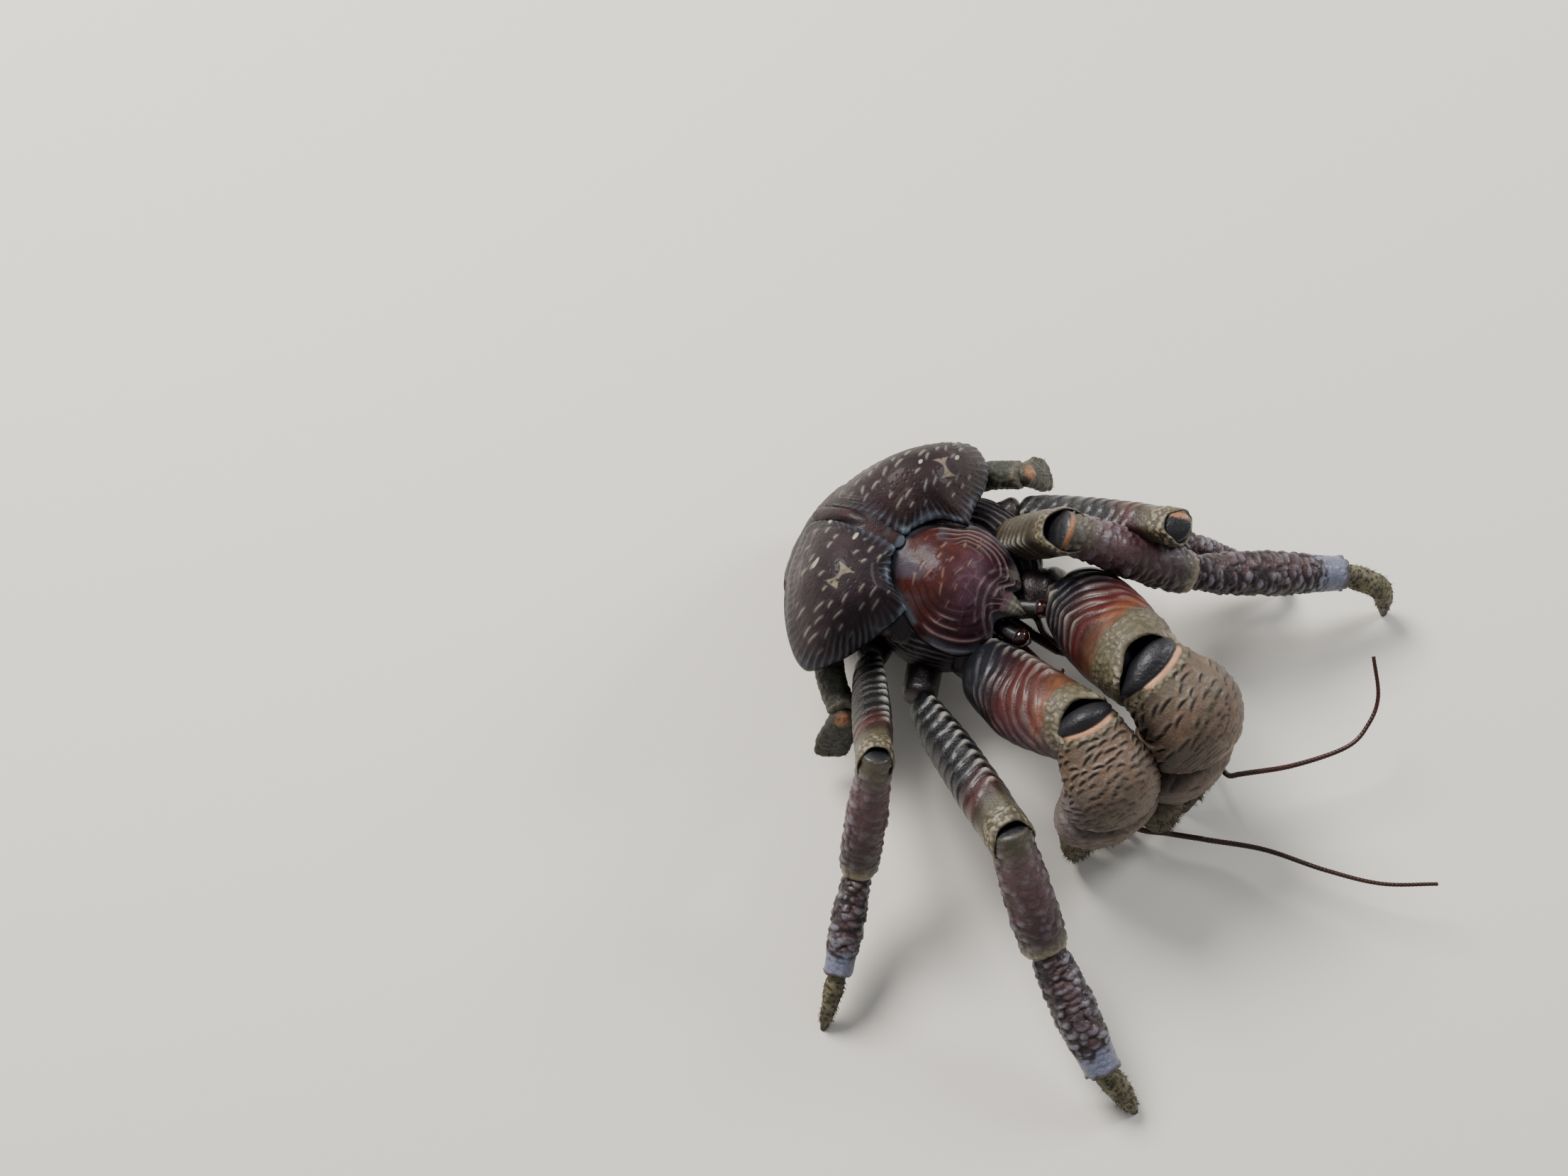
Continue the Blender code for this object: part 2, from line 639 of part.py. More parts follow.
# Rim of a rear lobe from the middle notch round by the back to the front corner. Both lobes
# are turned a little to the crab's right about the notch.
def lobe_rim(side):
    back = 7.0 - LOBE_LENGTH
    width = LOBE_HALF_WIDTH
    rim = (
        (-0.4, 1.7, 31.6), (-7.0, 1.7, 31.6), (-12.0, 1.7, 28.0), (back, 2.6, LOBE_RIM + 1.2),
        (back + 0.6, 6.8, LOBE_RIM + 0.3), (back + 1.8, 10.6, LOBE_RIM),
        (back + 3.9, 14.8, LOBE_RIM), (back + 6.9, width - 4.7, LOBE_RIM + 0.2),
        (back + 10.2, width - 1.5, LOBE_RIM + 0.6), (-2.2, width, LOBE_RIM + 1.0),
        (0.4 * side, width - 0.2, LOBE_RIM + 1.6), (2.6 + 0.8 * side, width - 2.7, LOBE_RIM + 2.2),
        (4.2 + 0.6 * side, width - 6.0, LOBE_RIM + 3.2), (5.8, 12.3, 27.8), (6.8, 9.1, 29.3),
        (2.4, 6.8, 30.2), (0.4, 3.6, 31.0),
    )
    return tuple(skewed(mirrored(point, side)) for point in rim)


def skewed(point):
    return (point[0] + LOBE_SKEW * point[1] / LOBE_HALF_WIDTH, point[1], point[2])


# Rim of the shield: its rear edge runs just in front of the lobes, then its sides, the
# sockets of the eyes and the pointed rostrum
def shield_rim():
    width = SHIELD_HALF_WIDTH
    rear = ((1.2, 3.3, 30.2), (2.9, 6.1, 29.2), (6.2, 8.0, 28.0))
    flank = (
        (9.2, width - 0.4, 26.2), (12.6, width, SHIELD_RIM + 1.2), (16.0, width - 0.8, SHIELD_RIM),
        (18.4, 7.8, 22.8), (20.0, 5.2, 24.2), (19.4, 2.3, 26.6),
    )
    left = [skewed(point) for point in rear] + list(flank)
    right = [skewed(mirrored(point, -1.0)) for point in rear]
    right += [mirrored(point, -1.0) for point in flank]
    tip = (ROSTRUM_REACH, ROSTRUM_TURN, ROSTRUM_HEIGHT)
    return tuple([(0.4, 0.0, 30.6)] + left + [tip] + right[::-1])


def add_body(crab):
    crab.add("thorax_underside", FLESH_DARK,
             Limb(((-12, 0, 15), (2, 0, 15.5), (20, 0, 15.5)), UP, (14, 19, 21, 20, 17, 12),
                  (13, 19, 20, 19, 17, 13), sides=10, rings=4, root=0.7, end=0.6))
    add_abdomen(crab)
    for side, name in ((1.0, "left"), (-1.0, "right")):
        path = [mirrored(point, side) for point in ((3, 7.4, 18), (10, 8.5, 17.2), (18, 6.4, 17.2))]
        crab.add("cheek_" + name, SHELL_DARK,
                 Limb(path, UP, (7, 8.4, 8.8, 8.2, 6.5), (9, 13, 14.5, 13.5, 10), sides=10, rings=5,
                      root=0.6, end=0.5))
    crab.add("carapace_heart", SHELL_RED,
             Plate((-5, 0, 31.8), ((-0.4, 1.2, 31.2), (-7, 1.5, 31.3), (-14.6, 1.2, 24.2),
                                   (-14.6, -1.2, 24.2), (-7, -1.5, 31.3), (-0.4, -1.2, 31.2)),
                   (13.0, 9.0, 8.0), 4.0, sides=12, rings=2))
    for side, name in ((1.0, "left"), (-1.0, "right")):
        crab.add("carapace_lobe_" + name, SHELL_DARK,
                 Plate((-3, 10 * side, LOBE_CREST), lobe_rim(side), LOBE_BOWL, 8.0,
                       sides=34, rings=5, sharp=(14,)))
    crab.add("carapace_shield", SHELL_RED,
             Plate((9.5, 0, SHIELD_CREST), shield_rim(), SHIELD_BOWL, 6.0, sides=40, rings=5,
                   sharp=(10,)))


# The soft tail sac curls down behind the thorax and forward under it, with four hard
# plates on its outer side and the tail fan at its end.
ABDOMEN_COURSE = ((-7.5, 0, 18.5), (-12.5, 0, 15), (-13.2, 0, 9.5), (-9.0, 0, 4.5), (0, 0, 3.7),
                  (9, 0, 3.8))
ABDOMEN_WIDTHS = (20, 23, 24, 23, 20, 15)
ABDOMEN_HEIGHTS = (7.0, 8.0, 8.4, 8.2, 7.6, 6.0)
PLATE_CROWN = 0.35
TERGITE_SPANS = ((0.06, 0.24), (0.27, 0.45), (0.48, 0.66), (0.69, 0.87))


class Band:
    def __init__(self, sac, span, reach, lift, thick):
        self.sac = sac
        self.span = span
        self.reach = reach
        self.lift = lift
        self.thick = thick

    def body(self, name, collection, grow=0.0):
        spread = grow / self.sac.course.length
        places = np.linspace(self.span[0] - spread, self.span[1] + spread, 4)
        turns = np.linspace(-self.reach, self.reach, 7)
        rings = []
        for place in places:
            bulge = 1.0 - abs(2.0 * (place - self.span[0]) / (self.span[1] - self.span[0]) - 1.0) ** 3
            ring = []
            for outer, order in ((True, turns), (False, turns[::-1])):
                for turn in order:
                    if outer:
                        raised = self.lift + PLATE_CROWN * max(0.0, bulge) + grow
                    else:
                        raised = self.lift - self.thick - grow
                    spot = self.sac.point(place, math.pi / 2.0 + turn, raised)
                    ring.append(at(spot[0], spot[1], max(spot[2], 0.0)))
            rings.append(ring)
        return skin(name, rings, collection)


def add_abdomen(crab):
    sac = Limb(ABDOMEN_COURSE, (-1.0, 0, -0.35), ABDOMEN_WIDTHS, ABDOMEN_HEIGHTS, sides=10, rings=6,
               root=0.6, end=0.8)
    crab.add("abdomen_sac", FLESH_DARK, sac)
    for index, span in enumerate(TERGITE_SPANS):
        crab.add("tergite_" + str(index + 1), SHELL_DARK, Band(sac, span, 1.05, 0.35, 1.2))
    crab.add("tail_fan", SHELL_DARK,
             Limb(((6.5, 0, 3.4), (12.5, 0, 3.0)), UP, (5, 7.5, 7, 5), (1.8, 1.8, 1.6, 1.2), sides=8,
                  rings=4, end=0.9),
             Limb(((7.5, 2.6, 3.6), (10.5, 5.4, 3.4)), UP, (1.8, 2.4, 1.6), (1.6, 1.8, 1.2), sides=6,
                  rings=3),
             Limb(((7.5, -2.6, 3.6), (10.5, -5.4, 3.4)), UP, (1.8, 2.4, 1.6), (1.6, 1.8, 1.2), sides=6,
                  rings=3))


# Routes of the two long feelers in mm, from their bases to their tips, each in two lengths
FEELER_ROUTES = {
    "left": (((24.8, 3.4, 19.6), (29, 2.6, 15.5), (42, 4.6, 12), (55, 4.8, 10), (62, 2.8, 9.2),
              (66, -0.4, 9)),
             ((66.6, -0.2, 9), (73.6, 5.4, 9.6), (79.8, 12.2, 11), (81.1, 17, 12.6),
              (80.3, 21.5, 14.4), (76.4, 26, 18))),
    "right": (((24.8, -3.4, 19.6), (30, -4.4, 15.0), (42, -9.5, 10), (50, -13.5, 4.5),
               (55.5, -15.4, 3.0), (61, -13.6, 3.2), (66, -12, 4.2)),
              ((66.6, -11.8, 4.2), (76, -8.6, 5.0), (86, -7.3, 7), (95, -5.2, 8.6), (103, -1, 10))),
}


def add_head(crab):
    for side, name in ((1.0, "left"), (-1.0, "right")):
        root = mirrored((19.2, 1.9, 22.4), side)
        place = EYE_PLACES[name]
        stalk = Limb((root, place), UP, (2.2, 2.2, 2.4), (2.2, 2.2, 2.4), sides=8, rings=3)
        eye = Limb((beyond(root, place, -1.4), beyond(root, place, 1.4)), UP, (EYE_DIAMETER,) * 3,
                   (EYE_DIAMETER,) * 3, sides=10, rings=3, end=1.0)
        crab.add("eye_" + name, BLACK_GLOSS, stalk, eye)
        crab.add("antennule_" + name, FEELER,
                 Limb([mirrored(point, side) for point in ((20.0, 1.3, 18.6), (26, 1.6, 16.2),
                                                           (30.5, 2.0, 13.6))], UP,
                      (1.9, 1.8, 1.2), (1.9, 1.8, 1.2), sides=6, rings=4),
                 Limb([mirrored(point, side) for point in ((30.2, 2.0, 13.6), (32.4, 2.1, 15.2),
                                                           (32.8, 2.2, 18.6))], UP,
                      (1.1, 1.0, 0.7), (1.1, 1.0, 0.7), sides=6, rings=4))
        crab.add("antenna_base_" + name, FLESH_DARK,
                 Limb([mirrored(point, side) for point in ((17.5, 4.2, 19.6), (21.5, 4.0, 20.2),
                                                           (25.0, 3.5, 19.8))], UP,
                      (2.6, 2.6, 2.0), (2.4, 2.4, 2.0), sides=8, rings=4))
        for index, route in enumerate(FEELER_ROUTES[name]):
            ends = (FLAGELLUM_ROOT, 0.9) if index == 0 else (0.9, FLAGELLUM_TIP)
            crab.add("antenna_" + name + "_" + str(index + 1), FEELER,
                     Limb(route, UP, ends, ends, sides=5, rings=12, root=0.2, end=0.2))
        crab.add("maxilliped_" + name, FLESH_DARK,
                 Limb([mirrored(point, side) for point in ((14.5, 2.6, 7.6), (18.5, 2.7, 6.9),
                                                           (22.5, 2.7, 7.4))], UP,
                      (4.0, 4.2, 3.2), (3.0, 3.0, 2.4), sides=8, rings=4),
                 Limb([mirrored(point, side) for point in ((22.0, 2.7, 7.6), (24.2, 2.3, 9.6),
                                                           (24.0, 1.9, 12.6))], UP,
                      (2.6, 2.4, 1.4), (2.4, 2.2, 1.4), sides=8, rings=4))


def build():
    clear_scene()
    crab = Crab()
    add_body(crab)
    add_head(crab)
    for name in FOURTH_LEG:
        add_fourth_leg(crab, name)
    for name in LEG_JOINTS:
        add_leg(crab, name)
    for name in CLAW_JOINTS:
        add_claw(crab, name)
    crab.carve()


build()
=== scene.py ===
# A young coconut crab as a life-size still model: every piece is a surface worked out with numpy
# and painted by formula. Places are in mm from the notch of the carapace: forward, left, height.
import math
from types import SimpleNamespace

import bpy
import numpy as np
from mathutils import Matrix, Vector


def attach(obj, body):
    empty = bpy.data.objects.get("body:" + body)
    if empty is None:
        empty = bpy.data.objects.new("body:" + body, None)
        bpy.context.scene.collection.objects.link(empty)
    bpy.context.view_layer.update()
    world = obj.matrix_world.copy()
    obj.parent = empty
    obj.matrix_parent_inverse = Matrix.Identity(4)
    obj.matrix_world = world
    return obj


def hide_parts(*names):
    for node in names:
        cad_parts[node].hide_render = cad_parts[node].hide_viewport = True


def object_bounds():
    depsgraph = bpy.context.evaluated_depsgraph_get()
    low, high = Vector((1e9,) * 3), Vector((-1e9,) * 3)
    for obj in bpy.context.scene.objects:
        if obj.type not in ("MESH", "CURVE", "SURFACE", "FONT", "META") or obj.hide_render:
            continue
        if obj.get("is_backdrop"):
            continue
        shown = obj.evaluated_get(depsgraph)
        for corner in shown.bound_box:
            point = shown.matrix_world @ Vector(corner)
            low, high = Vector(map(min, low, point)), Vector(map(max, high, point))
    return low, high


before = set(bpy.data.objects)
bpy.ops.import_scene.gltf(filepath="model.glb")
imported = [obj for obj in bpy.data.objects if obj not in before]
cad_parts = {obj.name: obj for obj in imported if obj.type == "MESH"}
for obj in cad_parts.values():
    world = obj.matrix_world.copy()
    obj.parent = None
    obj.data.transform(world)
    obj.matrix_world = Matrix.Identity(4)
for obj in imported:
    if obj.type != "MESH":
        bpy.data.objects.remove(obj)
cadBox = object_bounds()
mm = 0.001
notch = (0.01386, 0.04261)  # where the carapace's notch stands, in metres
turnRound = 2.0 * math.pi
upward = (0.0, 0.0, 1.0)
depthOfTone = 0.46  # the paint is laid on at this strength, a painted shade that darkens the whole crab while the floor keeps its light


# places in mm, forward, left and height from the notch, to metres in the frame
def toWorld(spots):
    spots = np.asarray(spots, dtype=float)
    x = notch[0] + spots[..., 1] * mm
    y = notch[1] - spots[..., 0] * mm
    return np.stack((x, y, spots[..., 2] * mm), axis=-1)


# vectors brought to length 1
def unit(vectors):
    return vectors / np.maximum(np.linalg.norm(vectors, axis=-1, keepdims=True), 1e-9)


# a colour given as it looks on a screen, turned to linear light
def tint(red, green, blue):
    value = np.array((red, green, blue)) / 255.0
    return np.where(value <= 0.04045, value / 12.92, ((value + 0.055) / 1.055) ** 2.4)


# named colours, each given as it looks on a screen
def palette(**colours):
    return SimpleNamespace(**{name: tint(*colour) for name, colour in colours.items()})


# smooth step from 0 at low to 1 at high
def ease(value, low, high):
    part = np.clip((value - low) / (high - low), 0.0, 1.0)
    return part * part * (3.0 - 2.0 * part)


# lays one colour over another by a share from 0 to 1
def cover(under, over, share):
    share = np.clip(np.asarray(share, dtype=float), 0.0, 1.0)[..., None]
    return under + (over - under) * share


# lays (colour, share) pairs over a ground, one after the other
def layers(paint, *coats):
    for colour, share in coats:
        paint = cover(paint, colour, share)
    return paint


# one colour that gives way to another where a soft cloud rises from low to high
def mottled(one, other, spots, size, seed, low, high):
    return cover(one, other, ease(clouds(spots, size, seed), low, high))


# a colour read along a row of stops (place, colour), blended in between
def ramp(place, stops):
    spots = [stop[0] for stop in stops]
    return np.stack([np.interp(place, spots, [stop[1][k] for stop in stops]) for k in range(3)], axis=-1)


latticeSize = 48
lattice = np.random.default_rng(11).random((latticeSize, latticeSize, latticeSize))


# soft random cloud: a random lattice read at spots / size, eased between its eight corners
def cloud(spots, size, seed=0):
    spot = np.asarray(spots) / size + seed * 13.7
    cell = np.floor(spot).astype(int)
    part = spot - cell
    part = part * part * (3.0 - 2.0 * part)
    total = 0.0
    for i in (0, 1):
        for j in (0, 1):
            for k in (0, 1):
                pick = [(cell[..., n] + step) % latticeSize for n, step in enumerate((i, j, k))]
                sides = [part[..., n] if step else 1.0 - part[..., n] for n, step in enumerate((i, j, k))]
                total = total + sides[0] * sides[1] * sides[2] * lattice[pick[0], pick[1], pick[2]]
    return total


# three sizes of cloud added up
def clouds(spots, size, seed=0):
    return (4.0 * cloud(spots, size, seed) + 2.0 * cloud(spots, size / 2.1, seed + 1)
            + cloud(spots, size / 4.3, seed + 2)) / 7.0


cellTable = (61, 67)  # the random numbers of a brick pattern repeat after so many cells


# The nine cells round every place of a brick pattern, one after the other: the way from each
# cell's middle, shifted at random by a share of the cell, and the cell's random numbers. The
# numbers at `shifts` and after it give the shift.
def brickCells(x, y, pitch, rows, slack, seed, count, shifts):
    table = np.random.default_rng(seed).random((count, *cellTable))
    for i in (-1, 0, 1):
        for j in (-1, 0, 1):
            row = np.floor(y / rows).astype(int) + j
            offset = 0.5 * (row % 2)
            column = np.floor(x / pitch - offset).astype(int) + i
            picks = table[:, column % cellTable[0], row % cellTable[1]]
            dx = x - (column + 0.5 + offset + slack * (picks[shifts] - 0.5)) * pitch
            dy = y - (row + 0.5 + slack * (picks[shifts + 1] - 0.5)) * rows
            yield dx, dy, picks


# staggered short strokes on a plane: every cell of a brick pattern holds one bent stroke.
# Gives the stroke itself and the lip that stands beside it, both 0 to 1.
def strokes(x, y, look, seed):
    mark = np.zeros(np.broadcast(x, y).shape)
    lip = np.zeros_like(mark)
    for dx, dy, picks in brickCells(x, y, look["pitch"], look["rows"], 0.55, seed, 5, 1):
        angle = look["turn"] + look["wander"] * (picks[3] - 0.5)
        half = look["length"] * (0.32 + 0.36 * picks[4])
        p = (dx * np.cos(angle) + dy * np.sin(angle)) / half
        q = (dy * np.cos(angle) - dx * np.sin(angle)) / look["width"] - look["bend"] * p * p
        kept = picks[0] < look["keep"]
        mark = np.maximum(mark, kept * np.exp(-p ** 4 - (2.0 * q) ** 2))
        lip = np.maximum(lip, kept * np.exp(-0.8 * p ** 4 - (1.5 * (q + 0.95)) ** 2))
    return mark, lip


# round grains in staggered rows: a dome in every cell, flattened and leaning to one side
def grains(x, y, pitch, rows, size, seed, lean=0.3):
    dome = np.zeros(np.broadcast(x, y).shape)
    for dx, dy, (_, _, big, long) in brickCells(x, y, pitch, rows, 0.95, seed, 4, 0):
        dx = dx / (size * (0.5 + 0.9 * long))
        dy = dy / (size * (0.35 + 0.6 * big))
        bowl = np.clip(1.0 - (dx * dx + dy * dy), 0.0, 1.0) ** 0.5
        dome = np.maximum(dome, bowl * (1.0 + lean * dy) * (0.5 + 0.5 * big))
    return dome


# closed skin from a grid of points: rows of rings joined by quads, a fan of triangles closing
# each end; faces are turned outwards by the sign of the enclosed volume
def gridMesh(name, points, paint, wet):
    rows, columns = points.shape[:2]
    flat = toWorld(points).reshape(-1, 3)
    poles = np.stack((flat[:columns].mean(axis=0), flat[-columns:].mean(axis=0)))
    spots = np.vstack((flat, poles))
    index = np.arange(rows * columns).reshape(rows, columns)
    after = np.roll(index, -1, axis=1)
    quads = np.stack((index[:-1], index[1:], after[1:], after[:-1]), axis=-1).reshape(-1, 4)
    first = np.full(columns, rows * columns)
    fans = np.vstack((np.stack((index[0], after[0], first), axis=-1),
                      np.stack((after[-1], index[-1], first + 1), axis=-1)))
    halves = np.vstack((quads[:, :3], quads[:, [0, 2, 3]], fans))
    a, b, c = (spots[halves[:, k]] for k in range(3))
    if (a * np.cross(b, c)).sum() < 0.0:
        quads, fans = quads[:, ::-1], fans[:, ::-1]

    def withPoles(values):
        values = np.asarray(values, dtype=float).reshape(rows * columns, -1)
        return np.vstack((values, values[:columns].mean(axis=0), values[-columns:].mean(axis=0)))

    colour = np.ones((len(spots), 4))
    colour[:, :3] = withPoles(np.broadcast_to(paint, (rows, columns, 3)))
    damp = withPoles(np.broadcast_to(wet, (rows, columns)))
    return faceMesh(name, spots, (quads, fans), colour, damp)


# a smooth mesh from points and faces, with its paint and its wetness at every point
def faceMesh(name, spots, faceSets, colour, damp):
    mesh = bpy.data.meshes.new(name)
    corners = np.concatenate([faces.ravel() for faces in faceSets])
    sizes = np.concatenate([np.full(len(faces), faces.shape[1]) for faces in faceSets])
    starts = np.concatenate(([0], np.cumsum(sizes)[:-1]))
    mesh.vertices.add(len(spots))
    mesh.vertices.foreach_set("co", spots.ravel())
    mesh.loops.add(len(corners))
    mesh.loops.foreach_set("vertex_index", corners)
    mesh.polygons.add(len(starts))
    mesh.polygons.foreach_set("loop_start", starts)
    mesh.update(calc_edges=True)
    mesh.polygons.foreach_set("use_smooth", np.ones(len(starts), dtype=bool))
    layer = mesh.attributes.new("paint", "FLOAT_COLOR", "POINT")
    layer.data.foreach_set("color", np.clip(colour, 0.0, 1.0).ravel())
    layer = mesh.attributes.new("wet", "FLOAT", "POINT")
    layer.data.foreach_set("value", np.asarray(damp, dtype=float).ravel())
    mesh.validate()
    return mesh


# an object with its data, linked to the scene
def newObject(name, data):
    thing = bpy.data.objects.new(name, data)
    bpy.context.scene.collection.objects.link(thing)
    return thing


# a piece in the scene: it rides on the root and replaces its CAD nodes
def addPiece(name, mesh, finish, nodes):
    material, slot = finish
    piece = newObject(name, mesh)
    mesh.materials.append(material)
    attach(piece, "root")
    if nodes:
        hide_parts(*nodes)
    return piece


# Shell: the painted colour times fine noise times broad noise, a roughness from the dry to the
# wet one by the painted wetness, and grain and pores added up as bump. Scales are per mm.
def shellMaterial(name, look):
    material = bpy.data.materials.new(name)
    material.use_nodes = True
    nodes, links = material.node_tree.nodes, material.node_tree.links
    shader = nodes["Principled BSDF"]
    where = nodes.new("ShaderNodeTexCoord")
    inMm = nodes.new("ShaderNodeMapping")
    inMm.inputs["Scale"].default_value = (1000.0, 1000.0, 1000.0)
    links.new(where.outputs["Object"], inMm.inputs["Vector"])

    def noise(scale, detail):
        node = nodes.new("ShaderNodeTexNoise")
        node.inputs["Scale"].default_value = scale
        node.inputs["Detail"].default_value = detail
        node.inputs["Roughness"].default_value = 0.62
        links.new(inMm.outputs["Vector"], node.inputs["Vector"])
        return node.outputs["Fac"]

    def spread(value, low, high, fromLow=0.3, fromHigh=0.7):
        node = nodes.new("ShaderNodeMapRange")
        for key, number in (("From Min", fromLow), ("From Max", fromHigh), ("To Min", low),
                            ("To Max", high)):
            node.inputs[key].default_value = number
        links.new(value, node.inputs["Value"])
        return node.outputs["Result"]

    def joinNumbers(kind, one, other):
        node = nodes.new("ShaderNodeMath")
        node.operation = kind
        links.new(one, node.inputs[0])
        if isinstance(other, float):
            node.inputs[1].default_value = other
        else:
            links.new(other, node.inputs[1])
        return node.outputs[0]

    paint, wet = nodes.new("ShaderNodeAttribute"), nodes.new("ShaderNodeAttribute")
    paint.attribute_name, wet.attribute_name = "paint", "wet"
    fine = noise(look["grain"], 5.0)
    broad = noise(look["blotch"], 3.0)
    shade = joinNumbers("MULTIPLY", spread(fine, depthOfTone * (1.0 - look["mottle"]),
                                           depthOfTone * (1.0 + look["mottle"])),
                        spread(broad, 1.0 - look["drift"], 1.0 + look["drift"]))
    mix = nodes.new("ShaderNodeVectorMath")
    mix.operation = "SCALE"
    links.new(paint.outputs["Color"], mix.inputs[0])
    links.new(shade, mix.inputs["Scale"])
    links.new(mix.outputs["Vector"], shader.inputs["Base Color"])
    gloss = spread(wet.outputs["Fac"], look["dry"], look["gloss"], 0.0, 1.0)
    links.new(joinNumbers("ADD", gloss, spread(fine, -0.07, 0.07)), shader.inputs["Roughness"])
    pores = nodes.new("ShaderNodeTexVoronoi")
    pores.inputs["Scale"].default_value = look["pores"]
    links.new(inMm.outputs["Vector"], pores.inputs["Vector"])
    height = joinNumbers("ADD", fine, joinNumbers("MULTIPLY", pores.outputs["Distance"], look["poreShare"]))
    bump = nodes.new("ShaderNodeBump")
    bump.inputs["Strength"].default_value = 0.9
    bump.inputs["Distance"].default_value = look["depth"] * mm
    links.new(height, bump.inputs["Height"])
    links.new(bump.outputs["Normal"], shader.inputs["Normal"])
    shader.inputs["Coat Weight"].default_value = look["coat"]
    shader.inputs["Coat Roughness"].default_value = 0.09
    shader.inputs["Specular IOR Level"].default_value = look["shine"]
    return material


finishLook = ("grain", "blotch", "mottle", "drift", "dry", "gloss", "pores", "poreShare", "depth", "coat",
              "shine")
finishTable = {
    "carapace": ("carapaceShell", "shell_dark", (5.0, 0.35, 0.22, 0.2, 0.56, 0.34, 2.6, 0.5, 0.09, 0.05,
                                                 0.18)),
    "shield": ("shieldShell", "shell_red", (4.0, 0.4, 0.2, 0.24, 0.5, 0.3, 2.0, 0.4, 0.035, 0.02, 0.09)),
    "arm": ("armShell", "shell_dark", (5.0, 0.5, 0.24, 0.2, 0.5, 0.26, 2.4, 0.4, 0.07, 0.1, 0.3)),
    "hand": ("handShell", "claw_taupe", (4.5, 0.45, 0.2, 0.16, 0.58, 0.2, 1.9, 0.6, 0.12, 0.08, 0.34)),
    "leg": ("legShell", "leg_purple", (5.0, 0.6, 0.24, 0.18, 0.45, 0.2, 2.2, 0.5, 0.1, 0.14, 0.34)),
    "tip": ("tipShell", "tip_olive", (6.0, 0.9, 0.3, 0.2, 0.6, 0.3, 3.0, 0.5, 0.1, 0.05, 0.34)),
    "flesh": ("jointSkin", "flesh_dark", (3.0, 0.5, 0.25, 0.25, 0.5, 0.2, 2.0, 0.4, 0.12, 0.12, 0.34)),
    "feeler": ("feelerRings", "feeler_brown", (4.0, 0.6, 0.2, 0.15, 0.42, 0.2, 3.0, 0.3, 0.04, 0.15, 0.34)),
    "eye": ("eyeGloss", "eye_gloss", (9.0, 1.5, 0.1, 0.1, 0.3, 0.04, 12.0, 0.3, 0.006, 1.0, 0.5)),
    "bristle": ("bristles", "tip_olive", (4.0, 1.0, 0.25, 0.2, 0.55, 0.4, 3.0, 0.3, 0.02, 0.0, 0.34)),
}
finishes = {key: (shellMaterial(label, dict(zip(finishLook, values))), slot)
            for key, (label, slot, values) in finishTable.items()}
print("materials made")


# a cubic from b to c in every row, whose slope at a point is half the step from its left to its
# right neighbour
def cubics(a, b, c, d, steps):
    a, b, c, d = (row[:, None] for row in (a, b, c, d))
    u = np.linspace(0.0, 1.0, steps, endpoint=False)[None, :, None]
    fine = 0.5 * (2.0 * b + (c - a) * u + (2.0 * a - 5.0 * b + 4.0 * c - d) * u ** 2
                  + (3.0 * b - a - 3.0 * c + d) * u ** 3)
    return fine.reshape(-1, 3)


# the length walked along a line at each of its points
def walked(line):
    return np.concatenate(([0.0], np.cumsum(np.linalg.norm(np.diff(line, axis=0), axis=1))))


# a smooth curve through points, with its length table
def curveThrough(points):
    knots = np.array(points, dtype=float)
    chain = np.vstack((2.0 * knots[0] - knots[1], knots, 2.0 * knots[-1] - knots[-2]))
    fine = cubics(*(chain[k:k + len(knots) - 1] for k in range(4)), 24)
    fine = np.vstack((fine, knots[-1]))
    reach = walked(fine)
    return SimpleNamespace(points=fine, reach=reach, length=reach[-1])


# the curve at a share of its length, straight on beyond its ends
def readCurve(curve, share):
    along = np.asarray(share) * curve.length
    points, reach = curve.points, curve.reach
    spot = np.stack([np.interp(along, reach, points[:, k]) for k in range(3)], axis=-1)
    first = (points[1] - points[0]) / (reach[1] - reach[0])
    last = (points[-1] - points[-2]) / (reach[-1] - reach[-2])
    spot = spot + first * np.minimum(along, 0.0)[..., None]
    return spot + last * np.maximum(along - curve.length, 0.0)[..., None]


# the way along the curve, the way across it and the way up from it, at a share of its length
def waysAlong(curve, share, lift, span=0.02):
    lead = unit(readCurve(curve, np.minimum(share + span, 1.0))
                - readCurve(curve, np.maximum(share - span, 0.0)))
    side = unit(np.cross(lead, np.array(lift, dtype=float)))
    return lead, side, np.cross(side, lead)


# a size read along the limb, its corners rounded by a running mean of `window` samples
def profile(sizes, share, samples=201, window=27):
    line = np.linspace(0.0, 1.0, samples)
    fine = np.interp(line, np.linspace(0.0, 1.0, len(sizes)), sizes)
    weights = np.hanning(window)
    smooth = np.convolve(np.pad(fine, window // 2, mode="edge"), weights / weights.sum(), "valid")
    return np.interp(share, line, smooth)


# how a cup's wall turns inwards: the way back from the tip as a share of the rounded end, the
# depth as a share of the length, and the ring's scale at each step
cupWall = dict(back=(0.5, 0.2, 0.6, 1.0), deep=(0.93, 0.9, 0.9),
               scales=(0.985, 0.93, 0.87, 0.84, 0.8, 0.45, 0.05))
capRings, fewestRings, fewestColumns = 11, 12, 20


